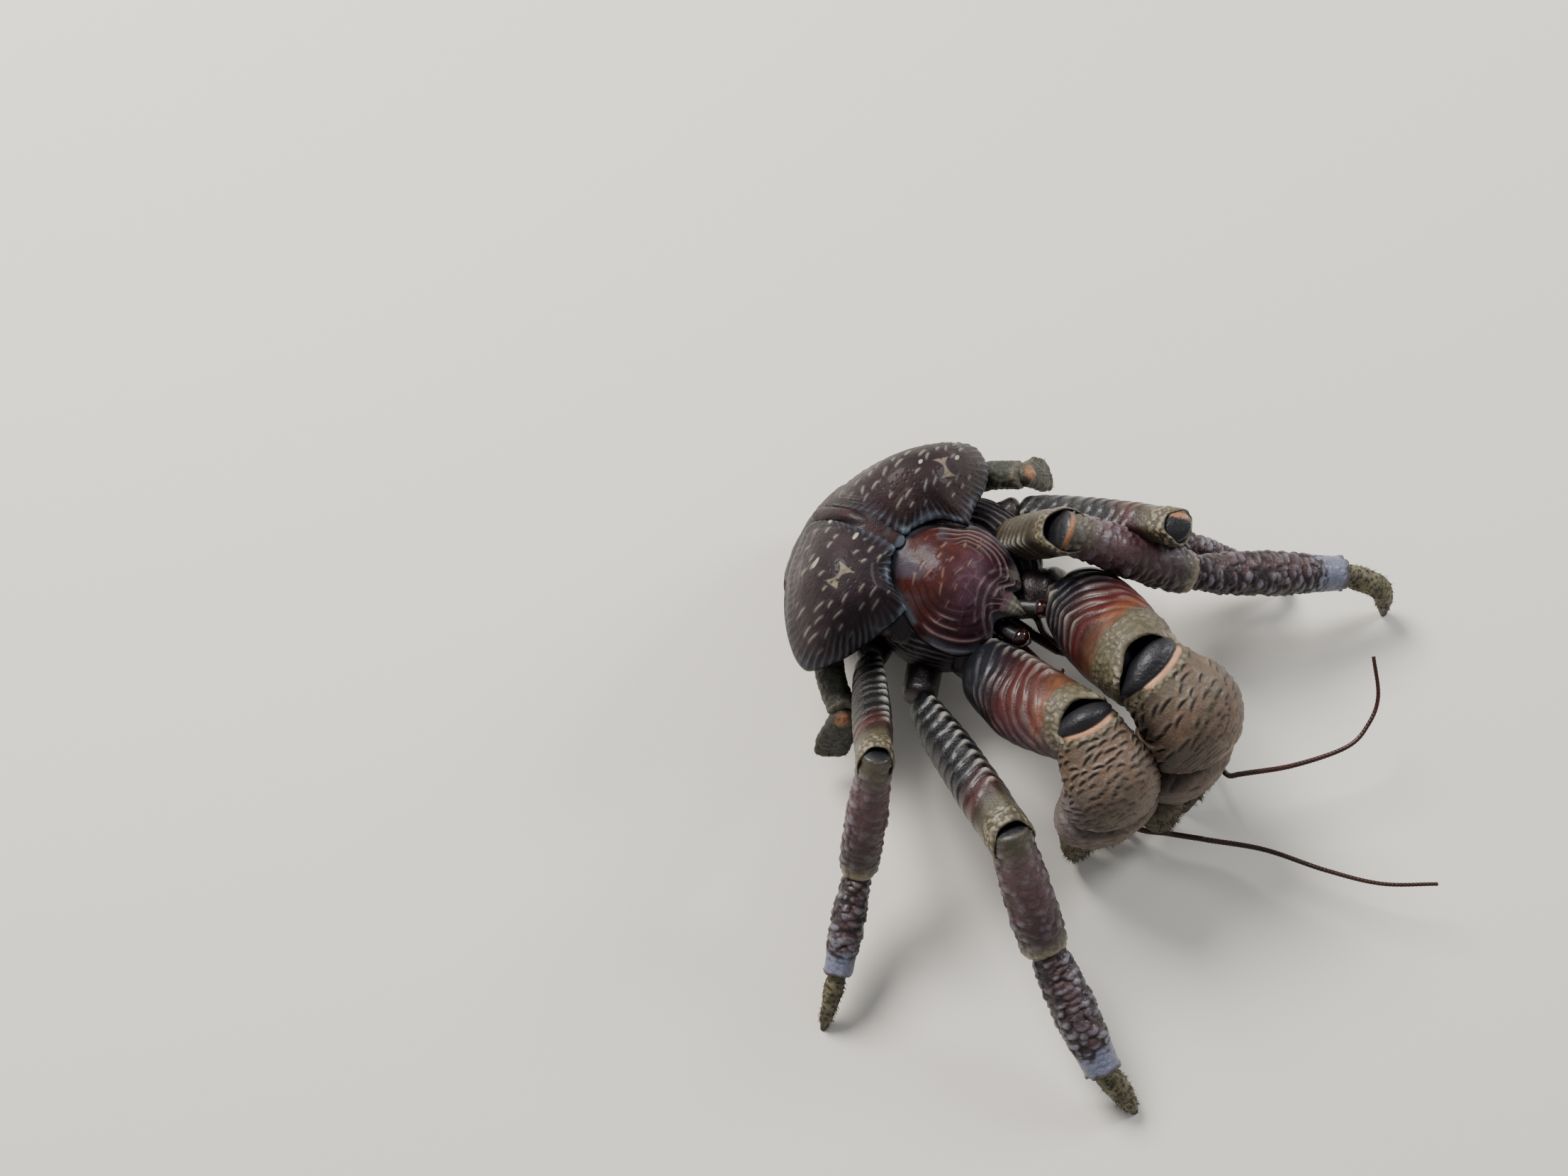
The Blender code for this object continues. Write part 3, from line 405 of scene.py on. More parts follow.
# One limb segment as a grid: oval rings (share of length, turn) along a curve. The root closes as
# a quarter ellipse, the end either so or as a cup turned inwards. Rings lean by `slant` and the
# rim is cut back by `notch` on top.
def limbForm(look, step=0.2):
    curve = curveThrough(look["course"])
    length = curve.length
    rootSpan = look.get("root", 0.9) * 0.5 * profile(look["heights"], 0.1) / length
    endSpan = look.get("end", 0.25) * 0.5 * profile(look["heights"], 0.95) / length
    swing = np.linspace(0.06, 1.0, capRings) * math.pi / 2.0
    places = list(rootSpan * (1.0 - np.cos(swing)))
    scales = list(np.sin(swing))
    count = max(fewestRings, int(length * (1.0 - rootSpan - endSpan) / step))
    middle = list(np.linspace(rootSpan, 1.0 - endSpan, count)[1:])
    places += middle
    scales += [1.0] * len(middle)
    if look.get("cup"):
        places += [1.0 - endSpan * part for part in cupWall["back"]] + list(cupWall["deep"])
        scales += cupWall["scales"]
    else:
        swing = np.linspace(0.92, 0.05, capRings) * math.pi / 2.0
        places += list(1.0 - endSpan * (1.0 - np.cos(swing)))
        scales += list(np.sin(swing))
    place = np.array(places)[:, None]
    scale = np.array(scales)[:, None]
    girth = math.pi * 0.5 * (max(look["widths"]) + max(look["heights"]))
    columns = max(fewestColumns, int(girth / step))
    angle = (np.arange(columns) / columns * turnRound - math.pi / 2.0)[None, :]
    lean = look.get("slant", 0.0) * np.sin(math.pi * np.clip(place, 0.0, 1.0)) ** 0.7 * np.cos(angle)
    away = (angle - math.radians(look.get("notchTurn", 90.0))) / look.get("notchWide", 0.9)
    cut = np.exp(-away ** 4)
    lip = look.get("rim", 0.0) * (1.0 - cut) - look.get("notch", 0.0) * cut
    lean = lean + lip * ease(place, 0.72, 0.97)
    share = place + lean / length
    lead, side, up = waysAlong(curve, np.clip(share, 0.0, 1.0), look.get("lift", upward))
    wide = 0.5 * profile(look["widths"], place) * np.ones_like(angle)
    high = 0.5 * profile(look["heights"], place) * np.ones_like(angle)
    cosine, sine = np.cos(angle), np.sin(angle)
    rim = side * (cosine * wide)[..., None] + up * (sine * high)[..., None]
    out = unit(side * (cosine / wide)[..., None] + up * (sine / high)[..., None]) * scale[..., None]
    out = out + lead * (np.sqrt(1.0 - scale ** 2) * np.where(place < 0.5, -1.0, 1.0))[..., None]
    points = readCurve(curve, share) + rim * scale[..., None]
    # distances over the skin: along from the root, and round from the top line
    down = np.cumsum(np.linalg.norm(np.diff(points, axis=0, prepend=points[:1]), axis=-1), axis=0)
    ring = np.cumsum(np.linalg.norm(np.diff(points, axis=1, prepend=points[:, :1]), axis=-1), axis=1)
    ring = ring - ring[:, columns // 2:columns // 2 + 1]
    place, angle, scale = np.broadcast_arrays(place, angle, scale)
    inside = ease(0.9 - scale, 0.0, 0.05) * (place > 0.5)  # the inner wall of a cup
    return SimpleNamespace(points=points, out=out, place=place, angle=angle, along=share * length,
                           down=down, round=ring, scale=scale, inside=inside, length=length)


# 1 along a line at a turn of the limb (90 is its top, 0 and 180 its sides), falling off in degrees
def nearTurn(form, degrees, wide):
    gap = (form.angle - math.radians(degrees) + math.pi) % turnRound - math.pi
    return np.exp(-(gap / math.radians(wide)) ** 2)


# a limb segment dressed in its relief and paint, kept above the ground
def addLimb(name, look, dress, finish, nodes, step=0.2):
    form = limbForm(look, step)
    relief, paint, wet = dress(form, look)
    points = form.points + form.out * np.asarray(relief)[..., None]
    points[..., 2] = np.maximum(points[..., 2], 0.0)
    return addPiece(name, gridMesh(name, points, paint, wet), finishes[finish], nodes)


# the point at a share of the way from a to b
def between(a, b, share):
    return tuple(np.array(a, dtype=float) * (1.0 - share) + np.array(b, dtype=float) * share)


# the point past b on the line from a, by a distance
def beyond(a, b, extra):
    end = np.array(b, dtype=float)
    return tuple(end + unit(end - np.array(a, dtype=float)) * extra)


# every size of a row times a factor
def scaled(sizes, factor):
    return tuple(size * factor for size in sizes)


# Ridges that start at a crest along the limb and sweep towards its end as they go round: each
# rises slowly and drops sharply. `sweep` is the slide in mm at 120 degrees from the crest.
def ridges(form, count, first, last, crest, sweep, warp=1.0):
    wobble = 0.6 * (cloud(form.points, 3.2, 5) - 0.5) + 1.7 * warp * (cloud(form.points, 8.0, 6) - 0.5)
    away = np.abs((form.angle - math.radians(crest) + math.pi) % turnRound - math.pi)
    slid = form.along - sweep * (away / math.radians(120.0)) ** 1.25
    phase = (slid / form.length - first) / (last - first) * count + wobble
    part, peak = phase % 1.0, 0.72
    rise = np.where(part < peak, part / peak, (1.0 - part) / (1.0 - peak))
    window = ease(phase, 0.0, 0.6) * ease(-phase, -count, 0.6 - count)
    strength = 1.0 - 0.5 * warp * ease(-cloud(form.points, 5.0, 7), -0.6, -0.3)
    return np.clip(rise, 0.0, 1.0) * window * strength


# the carapace: two lobes behind, the heart strip between them and the shield in front
carapace = dict(
    lobeBack=-15.0, lobeHalf=23.5, lobeSkew=2.2, lobeCrest=35.0, lobeRim=22.0, lobeBowl=(14.0, 14.0, 11.0),
    shieldHalf=10.3, shieldCrest=32.3, shieldRim=23.5, shieldBowl=(12.0, 10.3, 8.0),
    rostrum=(22.8, 0.6, 27.0),
)
shellColours = palette(
    dark=(50, 36, 40), brown=(84, 50, 44), plum=(66, 46, 54), cream=(196, 184, 166),
    lilac=(150, 142, 146), blue=(104, 114, 126), ice=(164, 180, 194), olive=(84, 80, 70),
    maroon=(86, 44, 44), ember=(126, 58, 44), purple=(96, 66, 80), rib=(176, 150, 142),
    grey=(122, 124, 112), black=(22, 18, 22),
)


# a point on the left (side 1) or the right (side -1) of the crab
def mirrored(point, side):
    return (point[0], point[1] * side, point[2])


# a course on one side of the crab, given as it runs on the left
def onSide(side, *points):
    return [mirrored(point, side) for point in points]


# the carapace sits a little askew in the photo: its left side lies further forward
def skewed(point):
    return (point[0] + carapace["lobeSkew"] * point[1] / carapace["lobeHalf"], point[1], point[2])


# the rim of a lobe, walked from the notch over the rear and the side to the front
def lobeRim(side):
    back, width, rim = carapace["lobeBack"], carapace["lobeHalf"], carapace["lobeRim"]
    corners = (
        (-0.4, 1.7, 31.9), (-7.0, 1.7, 31.4), (-12.0, 1.7, 28.0), (back, 2.6, rim + 1.2),
        (back + 0.6, 6.8, rim + 0.3), (back + 1.8, 10.6, rim), (back + 3.9, 14.8, rim),
        (back + 6.9, width - 4.7, rim + 0.2), (back + 10.2, width - 1.5, rim + 0.6),
        (-2.2, width, rim + 1.0), (0.4 * side, width - 0.2, rim + 1.6),
        (2.6 + 0.8 * side, width - 2.7, rim + 2.2), (4.2 + 0.6 * side, width - 6.0, rim + 3.2),
        (5.8, 12.3, 27.8), (6.8, 9.1, 29.3), (2.4, 6.8, 31.2), (0.4, 3.6, 31.6))
    return [skewed(mirrored(point, side)) for point in corners]


# the rim of the shield, walked from the notch over the left flank, the rostrum and the right flank
def shieldRim():
    width, rim = carapace["shieldHalf"], carapace["shieldRim"]
    rear = ((1.2, 3.3, 30.2), (2.9, 6.1, 29.2), (6.2, 8.0, 28.0))
    flank = ((9.2, width - 0.4, 26.2), (12.6, width, rim + 1.2), (16.0, width - 0.8, rim),
             (18.4, 7.8, 22.8),
             (20.0, 5.2, 24.2), (19.4, 2.3, 26.6))
    left = [skewed(point) for point in rear] + list(flank)
    right = [skewed(mirrored(point, -1.0)) for point in rear] + [mirrored(point, -1.0) for point in flank]
    return [(0.4, 0.0, 30.6)] + left + [carapace["rostrum"]] + right[::-1]


# the rim as a closed smooth line, evenly spaced; at the sharp corners the two sides meet freely
def closedLine(corners, sharp, count):
    knots = np.array(corners, dtype=float)
    a, b, c, d = (np.roll(knots, k, axis=0).copy() for k in (1, 0, -1, -2))
    for k in sharp:
        a[k] = 2.0 * b[k] - c[k]
        d[k - 1] = 2.0 * c[k - 1] - b[k - 1]
    fine = cubics(a, b, c, d, 40)
    loop = np.vstack((fine, fine[:1]))
    reach = walked(loop)
    spots = np.linspace(0.0, reach[-1], count, endpoint=False)
    return np.stack([np.interp(spots, reach, loop[:, k]) for k in range(3)], axis=-1), spots


# a plate's dome and mending powers, the window that smooths its mending, and how its edge rolls
# under: share of the way to the rim, drop and way outwards in mm at each ring
plateLook = dict(dome=2.2, mend=3.5, window=31, reach=(1.0, 1.0, 0.995, 0.985, 0.95, 0.8, 0.55, 0.3, 0.08),
                 drop=(0.25, 0.7, 1.05, 1.25, 1.3, 1.3, 1.3, 1.3, 1.3),
                 outward=(0.56, 0.6, 0.4, 0.1, -0.2, -0.3, -0.3, -0.2, 0.0))


# A domed plate as a polar grid about its crown: the height falls by a power of the distance and
# is mended near the rim to meet it; the edge rolls over and the under side closes flatter.
def plateForm(look, rings, columns):
    rim, arc = closedLine(look["rim"], look["sharp"], columns)
    crown = np.array(look["crown"], dtype=float)
    length, width, drop = look["bowl"]

    def dome(spots):
        away = (spots[..., :2] - crown[:2]) / np.array((length, width))
        return crown[2] - drop * np.linalg.norm(away, axis=-1) ** plateLook["dome"]

    mend = rim[:, 2] - dome(rim)
    kernel, half = np.hanning(plateLook["window"]), plateLook["window"] // 2
    mend = np.convolve(np.concatenate((mend[-half:], mend, mend[:half])), kernel / kernel.sum(), "valid")
    reach = np.concatenate((np.linspace(0.02, 1.0, rings), plateLook["reach"]))
    lower = np.concatenate((np.zeros(rings), plateLook["drop"]))
    outward = np.concatenate((0.4 * reach[:rings] ** 6, plateLook["outward"]))
    reach, lower, outward = reach[:, None], lower[:, None], outward[:, None]
    under = (np.arange(len(reach)) >= rings)[:, None]
    flat = crown[:2] + (rim[None, :, :2] - crown[:2]) * reach[..., None]
    spread = rim[:, :2] - crown[:2]
    size = np.linalg.norm(spread, axis=-1)
    flat = flat + (spread / size[:, None])[None] * outward[..., None]
    top = dome(flat) + mend[None] * reach ** plateLook["mend"]
    deep = np.where(under, look["depth"] * (1.0 - reach ** 2), 0.0)
    points = np.concatenate((flat, (top - lower - deep)[..., None]), axis=-1)
    tall = np.gradient(points, axis=0)
    wide = np.gradient(np.concatenate((points[:, -1:], points, points[:, :1]), axis=1), axis=1)[:, 1:-1]
    out = unit(np.cross(wide, tall))
    out = out * np.sign(out[rings // 2, 0, 2])
    under = under * np.ones_like(size)
    return SimpleNamespace(points=points, out=out, edge=(1.0 - reach) * size[None],
                           arc=arc * np.ones_like(reach), under=under, top=1.0 - under)


# a plate dressed in its relief, which fades out underneath, and its paint
def addPlate(name, look, dress, finish, nodes, **sizes):
    form = plateForm(look, **sizes)
    relief, paint, wet = dress(form, look)
    points = form.points + form.out * (relief * form.top)[..., None]
    return addPiece(name, gridMesh(name, points, paint, wet), finishes[finish], nodes)


# a cream mark of two flaring bars joined at a narrow waist
def waistMark(x, y, spot, turn, size):
    dx, dy = x - spot[0], y - spot[1]
    p = (dx * math.cos(turn) + dy * math.sin(turn)) / size
    q = (dy * math.cos(turn) - dx * math.sin(turn)) / size
    half = 0.16 + 0.62 * np.abs(p) ** 2.2
    return ease(half - np.abs(q), -0.1, 0.1) * ease(1.15 - np.abs(p), -0.08, 0.12)


# a lobe: rows of cream dashes on dark shell, fine striae along the rear, ribs square to the front
# edge and one cream mark of its own
def lobeDress(form, look):
    c, side = shellColours, look["side"]
    spots = form.points
    forward, left = spots[..., 0], spots[..., 1]
    wave = clouds(spots, 6.0, 3)
    paint = cover(c.dark, c.plum, ease(wave, 0.35, 0.75))
    paint = cover(paint, c.brown, 0.45 * ease(clouds(spots, 9.0, 9), 0.5, 0.75))
    marks, lip = strokes(left, forward, look["dashes"], look["seed"])
    clear = np.hypot(left - look["mark"][0], forward - look["mark"][1])
    inner = ease(form.edge, 1.0, 2.2) * ease(clear, 1.9, 3.0)
    tone = clouds(spots, 3.0, 21)
    paint = cover(paint, cover(c.lilac, c.cream, tone), 0.9 * marks * inner)
    # fine striae parallel to the rear edge
    rearward = ease(-forward, 6.0, 12.0) if side > 0 else ease(-forward, 8.5, 13.0)
    striae, _ = strokes(form.arc, form.edge, dict(pitch=2.6, rows=0.75, length=2.6, width=0.22, turn=0.0,
                                                        wander=0.15, bend=0.0, keep=0.75), look["seed"] + 5)
    band = ease(4.6 - form.edge, 0.0, 2.2) * rearward
    paint = layers(paint, (c.olive, band * (0.45 if side > 0 else 0.15)),
                   (c.lilac, striae * band * 0.55))
    # ribs square to the edge along the front and the side
    frontward = ease(forward, -9.0, -3.0)
    corner = ease(np.abs(left), 14.0, 20.0) * ease(forward, -6.0, 0.0)
    rib = 0.5 + 0.5 * np.cos(form.arc * turnRound / 1.35 + 3.0 * (cloud(spots, 3.0, 8) - 0.5))
    ribs = ease(rib, 0.45, 0.9) * np.exp(-(form.edge / (1.4 + 1.2 * corner)) ** 2) * (0.4 + 0.6 * frontward)
    ribs = ribs * (0.45 + 0.55 * ease(cloud(spots, 2.4, 12), 0.3, 0.6))
    paint = cover(paint, c.blue, 0.8 * ribs + 0.05 * np.exp(-(form.edge / 1.2) ** 2) * frontward)
    hem = np.exp(-((form.edge - 0.35) / 0.4) ** 2)
    medial = ease(form.points[..., 0], -3.5, 0.0) * ease(15.0 - np.abs(left), 0.0, 3.0)
    paint = layers(paint, (c.blue, 0.25 * hem * ease(cloud(spots, 2.8, 29), 0.3, 0.6)),
                   (c.ice, 0.75 * hem * medial * ease(cloud(spots, 2.2, 30), 0.35, 0.7)))
    # near-white painted highlights: small glints at given spots on the lobe
    for spot in look["bright"]:
        away = np.hypot((left - spot[1]) / spot[2], (forward - spot[0]) / 0.28)
        paint = cover(paint, tint(236, 226, 206), ease(1.25 - away, 0.0, 0.4))
    mark = waistMark(left, forward, look["mark"][:2], look["mark"][2], look["mark"][3])
    # the cream mark, then the under side of the rim painted black as painted shade beneath the overhang
    paint = layers(paint, (tint(176, 160, 132), 0.85 * mark * ease(cloud(spots, 0.8, 40), 0.1, 0.45)),
                   (c.black, form.under))
    pits = strokes(left, forward, dict(pitch=1.5, rows=1.0, length=0.7, width=0.3,
                                       turn=look["dashes"]["turn"], wander=0.5, bend=0.2, keep=0.8),
                   look["seed"] + 9)[0]
    relief = 0.10 * marks * inner + 0.10 * lip * inner - 0.06 * pits + 0.16 * ribs + 0.10 * striae * band
    relief = relief + 0.5 * (clouds(spots, 7.0, 14) - 0.5) + 0.10 * hem
    wet = 0.2 + 0.3 * ease(wave, 0.4, 0.7)
    return relief, paint, wet


# the dark strip between the lobes, blue-grey towards the notch
def heartDress(form, look):
    c, spots = shellColours, form.points
    forward = spots[..., 0]
    paint = cover(c.dark, c.brown, 0.55 * ease(clouds(spots, 3.0, 2), 0.4, 0.75))
    # blue-grey towards the notch, and the under side painted black as painted shade
    paint = layers(paint, (c.blue, 0.8 * ease(forward, -3.5, -0.8) * ease(cloud(spots, 1.6, 4), 0.35, 0.6)),
                   (c.black, form.under))
    relief = 0.25 * (clouds(spots, 2.0, 6) - 0.5)
    return relief, paint, 0.6


# the shield: maroon shell with a rusty glow on both sides, ribs that follow its edge, pale dashes
# behind and rings round the root of the rostrum
def shieldDress(form, look):
    c, spots = shellColours, form.points
    forward, left = spots[..., 0], spots[..., 1]
    wave = clouds(spots, 5.0, 50)
    paint = cover(mottled(c.maroon, c.brown, spots, 3.0, 52, 0.3, 0.6), c.purple,
                  ease(forward + 6.0 * (wave - 0.5), 8.0, 14.0))
    glow = np.exp(-((left + 6.2) / 3.4) ** 2 - ((forward - 10.0) / 6.0) ** 2)
    glow = glow + 0.9 * np.exp(-((left - 5.4) / 2.6) ** 2 - ((forward - 9.0) / 4.5) ** 2)
    paint = cover(paint, c.ember, np.clip(glow, 0.0, 1.0) * ease(wave, 0.38, 0.68) * 0.7)
    # blue-grey marbling at the rear
    marble = clouds(spots * np.array((1.0, 0.6, 1.0)), 2.6, 61)
    rear = ease(9.5 - forward, 0.0, 6.0)
    paint = cover(paint, tint(96, 90, 100), 0.85 * rear * ease(marble, 0.4, 0.6))
    veins = 1.0 - np.abs(clouds(spots * np.array((0.7, 1.0, 1.0)), 3.4, 63) - 0.5) / 0.03
    veins = ease(veins, 0.0, 1.0) * ease(form.edge, 1.0, 2.5) * ease(cloud(spots, 3.0, 64), 0.4, 0.65)
    paint = cover(paint, tint(138, 124, 134), 0.5 * veins * (0.4 + 0.6 * rear))
    # concentric ribs parallel to the sides, strongest near the edge, with painted shade in the grooves
    # between them
    wander = 1.1 * (cloud(spots, 5.0, 66) - 0.5)
    phase = (form.edge + wander) / 1.15
    line = 0.5 + 0.5 * np.cos(turnRound * phase)
    sides = ease(np.abs(left), 3.0, 6.5) * ease(forward, 1.5, 6.0) + ease(forward, 15.0, 18.0) * 0.6
    sides = np.clip(sides, 0.0, 1.0) * ease(7.2 - form.edge, 0.0, 3.5)
    breaks = ease(cloud(spots * np.array((0.6, 1.0, 1.0)), 3.2, 68), 0.35, 0.6)
    ribs = ease(line, 0.72, 0.99) * sides * breaks
    paint = layers(paint, (c.rib, 0.7 * ribs),
                   (c.black, 0.45 * ease(0.35 - line, 0.0, 0.35) * sides))
    # short pale dashes behind
    marks, lip = strokes(left, forward, look["dashes"], 71)
    marks = marks * ease(form.edge, 1.6, 3.0) * ease(15.5 - forward, 0.0, 4.0)
    paint = cover(paint, tint(178, 140, 122), 0.62 * marks)
    hem = np.exp(-((form.edge - 0.3) / 0.35) ** 2)
    paint = cover(paint, tint(128, 140, 150), 0.7 * hem * ease(cloud(spots, 2.0, 73), 0.2, 0.55))
    # rostrum: a grey-green three-sided tip with rings round its base
    beak = np.hypot(forward - 22.4, (left - 0.5) * 0.9)
    rings = np.exp(-((beak - 4.6) / 0.28) ** 2) + np.exp(-((beak - 5.9) / 0.25) ** 2) * 0.8
    rings = rings + 0.6 * np.exp(-((beak - 7.3) / 0.25) ** 2)
    rings = rings * ease(cloud(spots, 1.5, 75), 0.2, 0.5)
    # pale rings round the rostrum, a grey tip, and the under side painted black as painted shade beneath
    # the rim
    paint = layers(paint, (tint(186, 168, 166), 0.6 * rings),
                   (c.grey, 0.6 * ease(3.6 - beak, 0.0, 0.8)),
                   (c.black, form.under))
    relief = 0.22 * ribs + 0.10 * marks + 0.10 * lip * ease(form.edge, 1.6, 3.0) + 0.12 * rings
    relief = relief + 0.35 * (clouds(spots, 4.0, 80) - 0.5) * ease(form.edge, 0.3, 2.0)
    return relief, paint, 0.75 + 0.25 * ease(wave, 0.4, 0.6)


# the rostrum: grey-green, ringed, with a pale ridge along its top
def beakDress(form, look):
    spots, place = form.points, form.place
    wave = clouds(spots, 1.2, 84)
    paint = cover(tint(108, 106, 98), tint(150, 148, 134), ease(wave, 0.3, 0.7))
    paint = cover(shellColours.purple, paint, ease(place, 0.12, 0.42))
    rings = 0.5 + 0.5 * np.cos(turnRound * form.along / 0.7 + 2.0 * wave)
    paint = layers(paint, (tint(70, 72, 64), 0.25 * ease(rings, 0.6, 0.95)),
                   (tint(44, 40, 38), 0.75 * ease(0.25 - np.sin(form.angle), 0.0, 0.5)))
    ridge = nearTurn(form, 90.0, 16.0)
    paint = cover(paint, tint(186, 182, 160), 0.5 * ridge * ease(place, 0.2, 0.5))
    return 0.05 * rings * ease(0.9 - place, 0.0, 0.2) + 0.3 * ridge, paint, 0.45


dashLook = dict(pitch=3.0, rows=1.75, length=1.5, width=0.4, turn=0.2, wander=0.6, bend=0.15, keep=0.84)
for side, name in ((1.0, "left"), (-1.0, "right")):
    lobe = dict(crown=(-3.0, 10.0 * side, carapace["lobeCrest"]), rim=lobeRim(side), sharp=(14,), depth=8.0,
                bowl=carapace["lobeBowl"], side=side, seed=101 if side > 0 else 131,
                dashes=dict(dashLook, turn=-0.08 if side > 0 else 0.2))
    if side > 0:
        lobe.update(mark=(14.2, 0.6, 2.2, 1.5), bright=((1.2, 17.6, 0.6), (-3.2, 12.6, 0.45)))
    else:
        lobe.update(mark=(-11.3, -5.0, 0.2, 1.7),
                    bright=((-6.3, -3.4, 0.8), (-9.8, -10.3, 0.9), (-11.9, -1.5, 0.6)))
    addPlate("lobe_" + name, lobe, lobeDress, "carapace", ("carapace_lobe_" + name,), rings=120,
             columns=520)
heart = dict(crown=(-5.0, 0.0, 31.8), sharp=(), bowl=(13.0, 9.0, 8.0), depth=4.0,
             rim=((-0.4, 1.2, 31.2), (-7.0, 1.5, 31.3), (-14.6, 1.2, 24.2),
                  (-14.6, -1.2, 24.2), (-7.0, -1.5, 31.3), (-0.4, -1.2, 31.2)))
addPlate("heart_strip", heart, heartDress, "carapace", ("carapace_heart",), rings=50, columns=200)
shield = dict(crown=(9.5, 0.0, carapace["shieldCrest"]), rim=shieldRim(), sharp=(10,),
              bowl=carapace["shieldBowl"], depth=6.0, dashes=dict(pitch=2.8, rows=2.1, length=1.5,
                                                                  width=0.36, turn=0.0, wander=0.8,
                                                                  bend=0.1, keep=0.7))
addPlate("shield", shield, shieldDress, "shield", ("carapace_shield",), rings=130, columns=460)
beak = dict(course=((18.9, 0.4, 27.9), (20.9, 0.5, 27.6), (23.2, 0.6, 26.4)), widths=(4.2, 3.6, 2.3, 0.6),
            heights=(1.8, 2.0, 1.5, 0.6), root=1.2, end=0.9)
addLimb("rostrum", beak, beakDress, "shield", (), step=0.12)
print("carapace made")


# the wrinkled shell under the shield: fine ribs that run along it
def cheekDress(form, look):
    c, spots = shellColours, form.points
    wave = clouds(spots, 4.0, 90)
    line = 0.5 + 0.5 * np.cos(turnRound * (form.round / 1.25 + 1.2 * (cloud(spots, 5.0, 92) - 0.5)))
    upper = ease(np.sin(form.angle), -0.2, 0.5)
    ribs = ease(line, 0.6, 0.97) * upper * ease(cloud(spots, 2.4, 94), 0.2, 0.5)
    paint = cover(c.black, tint(44, 34, 40), ease(wave, 0.35, 0.7))
    paint = layers(paint, (tint(150, 138, 140), 0.62 * ribs),
                   (tint(96, 112, 124), 0.5 * ease(form.place, 0.78, 0.95) * upper * ease(wave, 0.3, 0.6)))
    return 0.2 * ribs + 0.3 * (wave - 0.5), paint, 0.6 + 0.3 * wave


for side, name in ((1.0, "left"), (-1.0, "right")):
    cheek = dict(course=onSide(side, (3, 7.4, 18), (10, 8.5, 17.2), (18, 6.4, 17.2)),
                 widths=(7, 8.4, 8.8, 8.2, 6.5), heights=(9, 13, 14.5, 13.5, 10), root=0.6, end=0.5)
    addLimb("cheek_shell_" + name, cheek, cheekDress, "carapace", ("cheek_" + name,))

# the striped shoulder of shell that shows between the shield and the left legs
shoulderFold = dict(course=((3.0, 13.0, 16.5), (9.5, 14.6, 17.2), (17.0, 12.6, 16.2), (21.0, 9.4, 15.4)),
                    widths=(5.0, 8.0, 8.4, 7.0, 4.5), heights=(6.0, 8.0, 8.0, 7.0, 5.0), root=0.8, end=0.7)
addLimb("shoulder_fold_left", shoulderFold, cheekDress, "carapace", ())

# the claws: joints from hip to finger tips, and the claw's size against the right one
claws = {
    "right": dict(hip=(14, -5, 12.5), socket=(20.3, -9.0, 20.5), knee=(41.0, -13.8, 33.5),
                  bend=(48.4, -18.3, 30.4), shoulder=(49.5, -19.1, 24.5), knuckle=(50.0, -19.6, 13.0),
                  outerTip=(49.5, -23.2, -0.5), innerTip=(51.6, -20.0, 1.6), size=1.0, mesial=1.0,
                  bow=(0, -0.9, -0.4), palm=(16.8, 18.0, 18.0, 16.5, 13.0), seed=200),
    "left": dict(hip=(16.5, 5.2, 13), socket=(27.2, 9.8, 21.0), knee=(45.5, -1.0, 35.0),
                 bend=(54.3, -2.5, 31.8), shoulder=(55.7, -4.5, 25.2), knuckle=(57.3, -6.8, 14.0),
                 outerTip=(61.2, -7.8, -0.5), innerTip=(59.4, -11.2, 1.6), size=1.16, mesial=-1.0,
                 bow=(0, 0, -0.4), palm=(16.8, 17.4, 16.2, 14.4, 11.6), seed=230),
}
clawColours = palette(
    root=(30, 34, 42), blueBlack=(36, 36, 46), maroon=(70, 32, 35), red=(108, 42, 35),
    orange=(152, 82, 48), collar=(112, 103, 82), lilac=(140, 118, 126), crest=(134, 116, 112),
    bulb=(48, 47, 53), peach=(250, 188, 146), taupe=(136, 118, 100), warm=(150, 120, 98),
    pit=(34, 28, 26), lip=(178, 158, 140), olive=(98, 90, 64), mauve=(150, 136, 142),
    tooth=(214, 204, 176),
)


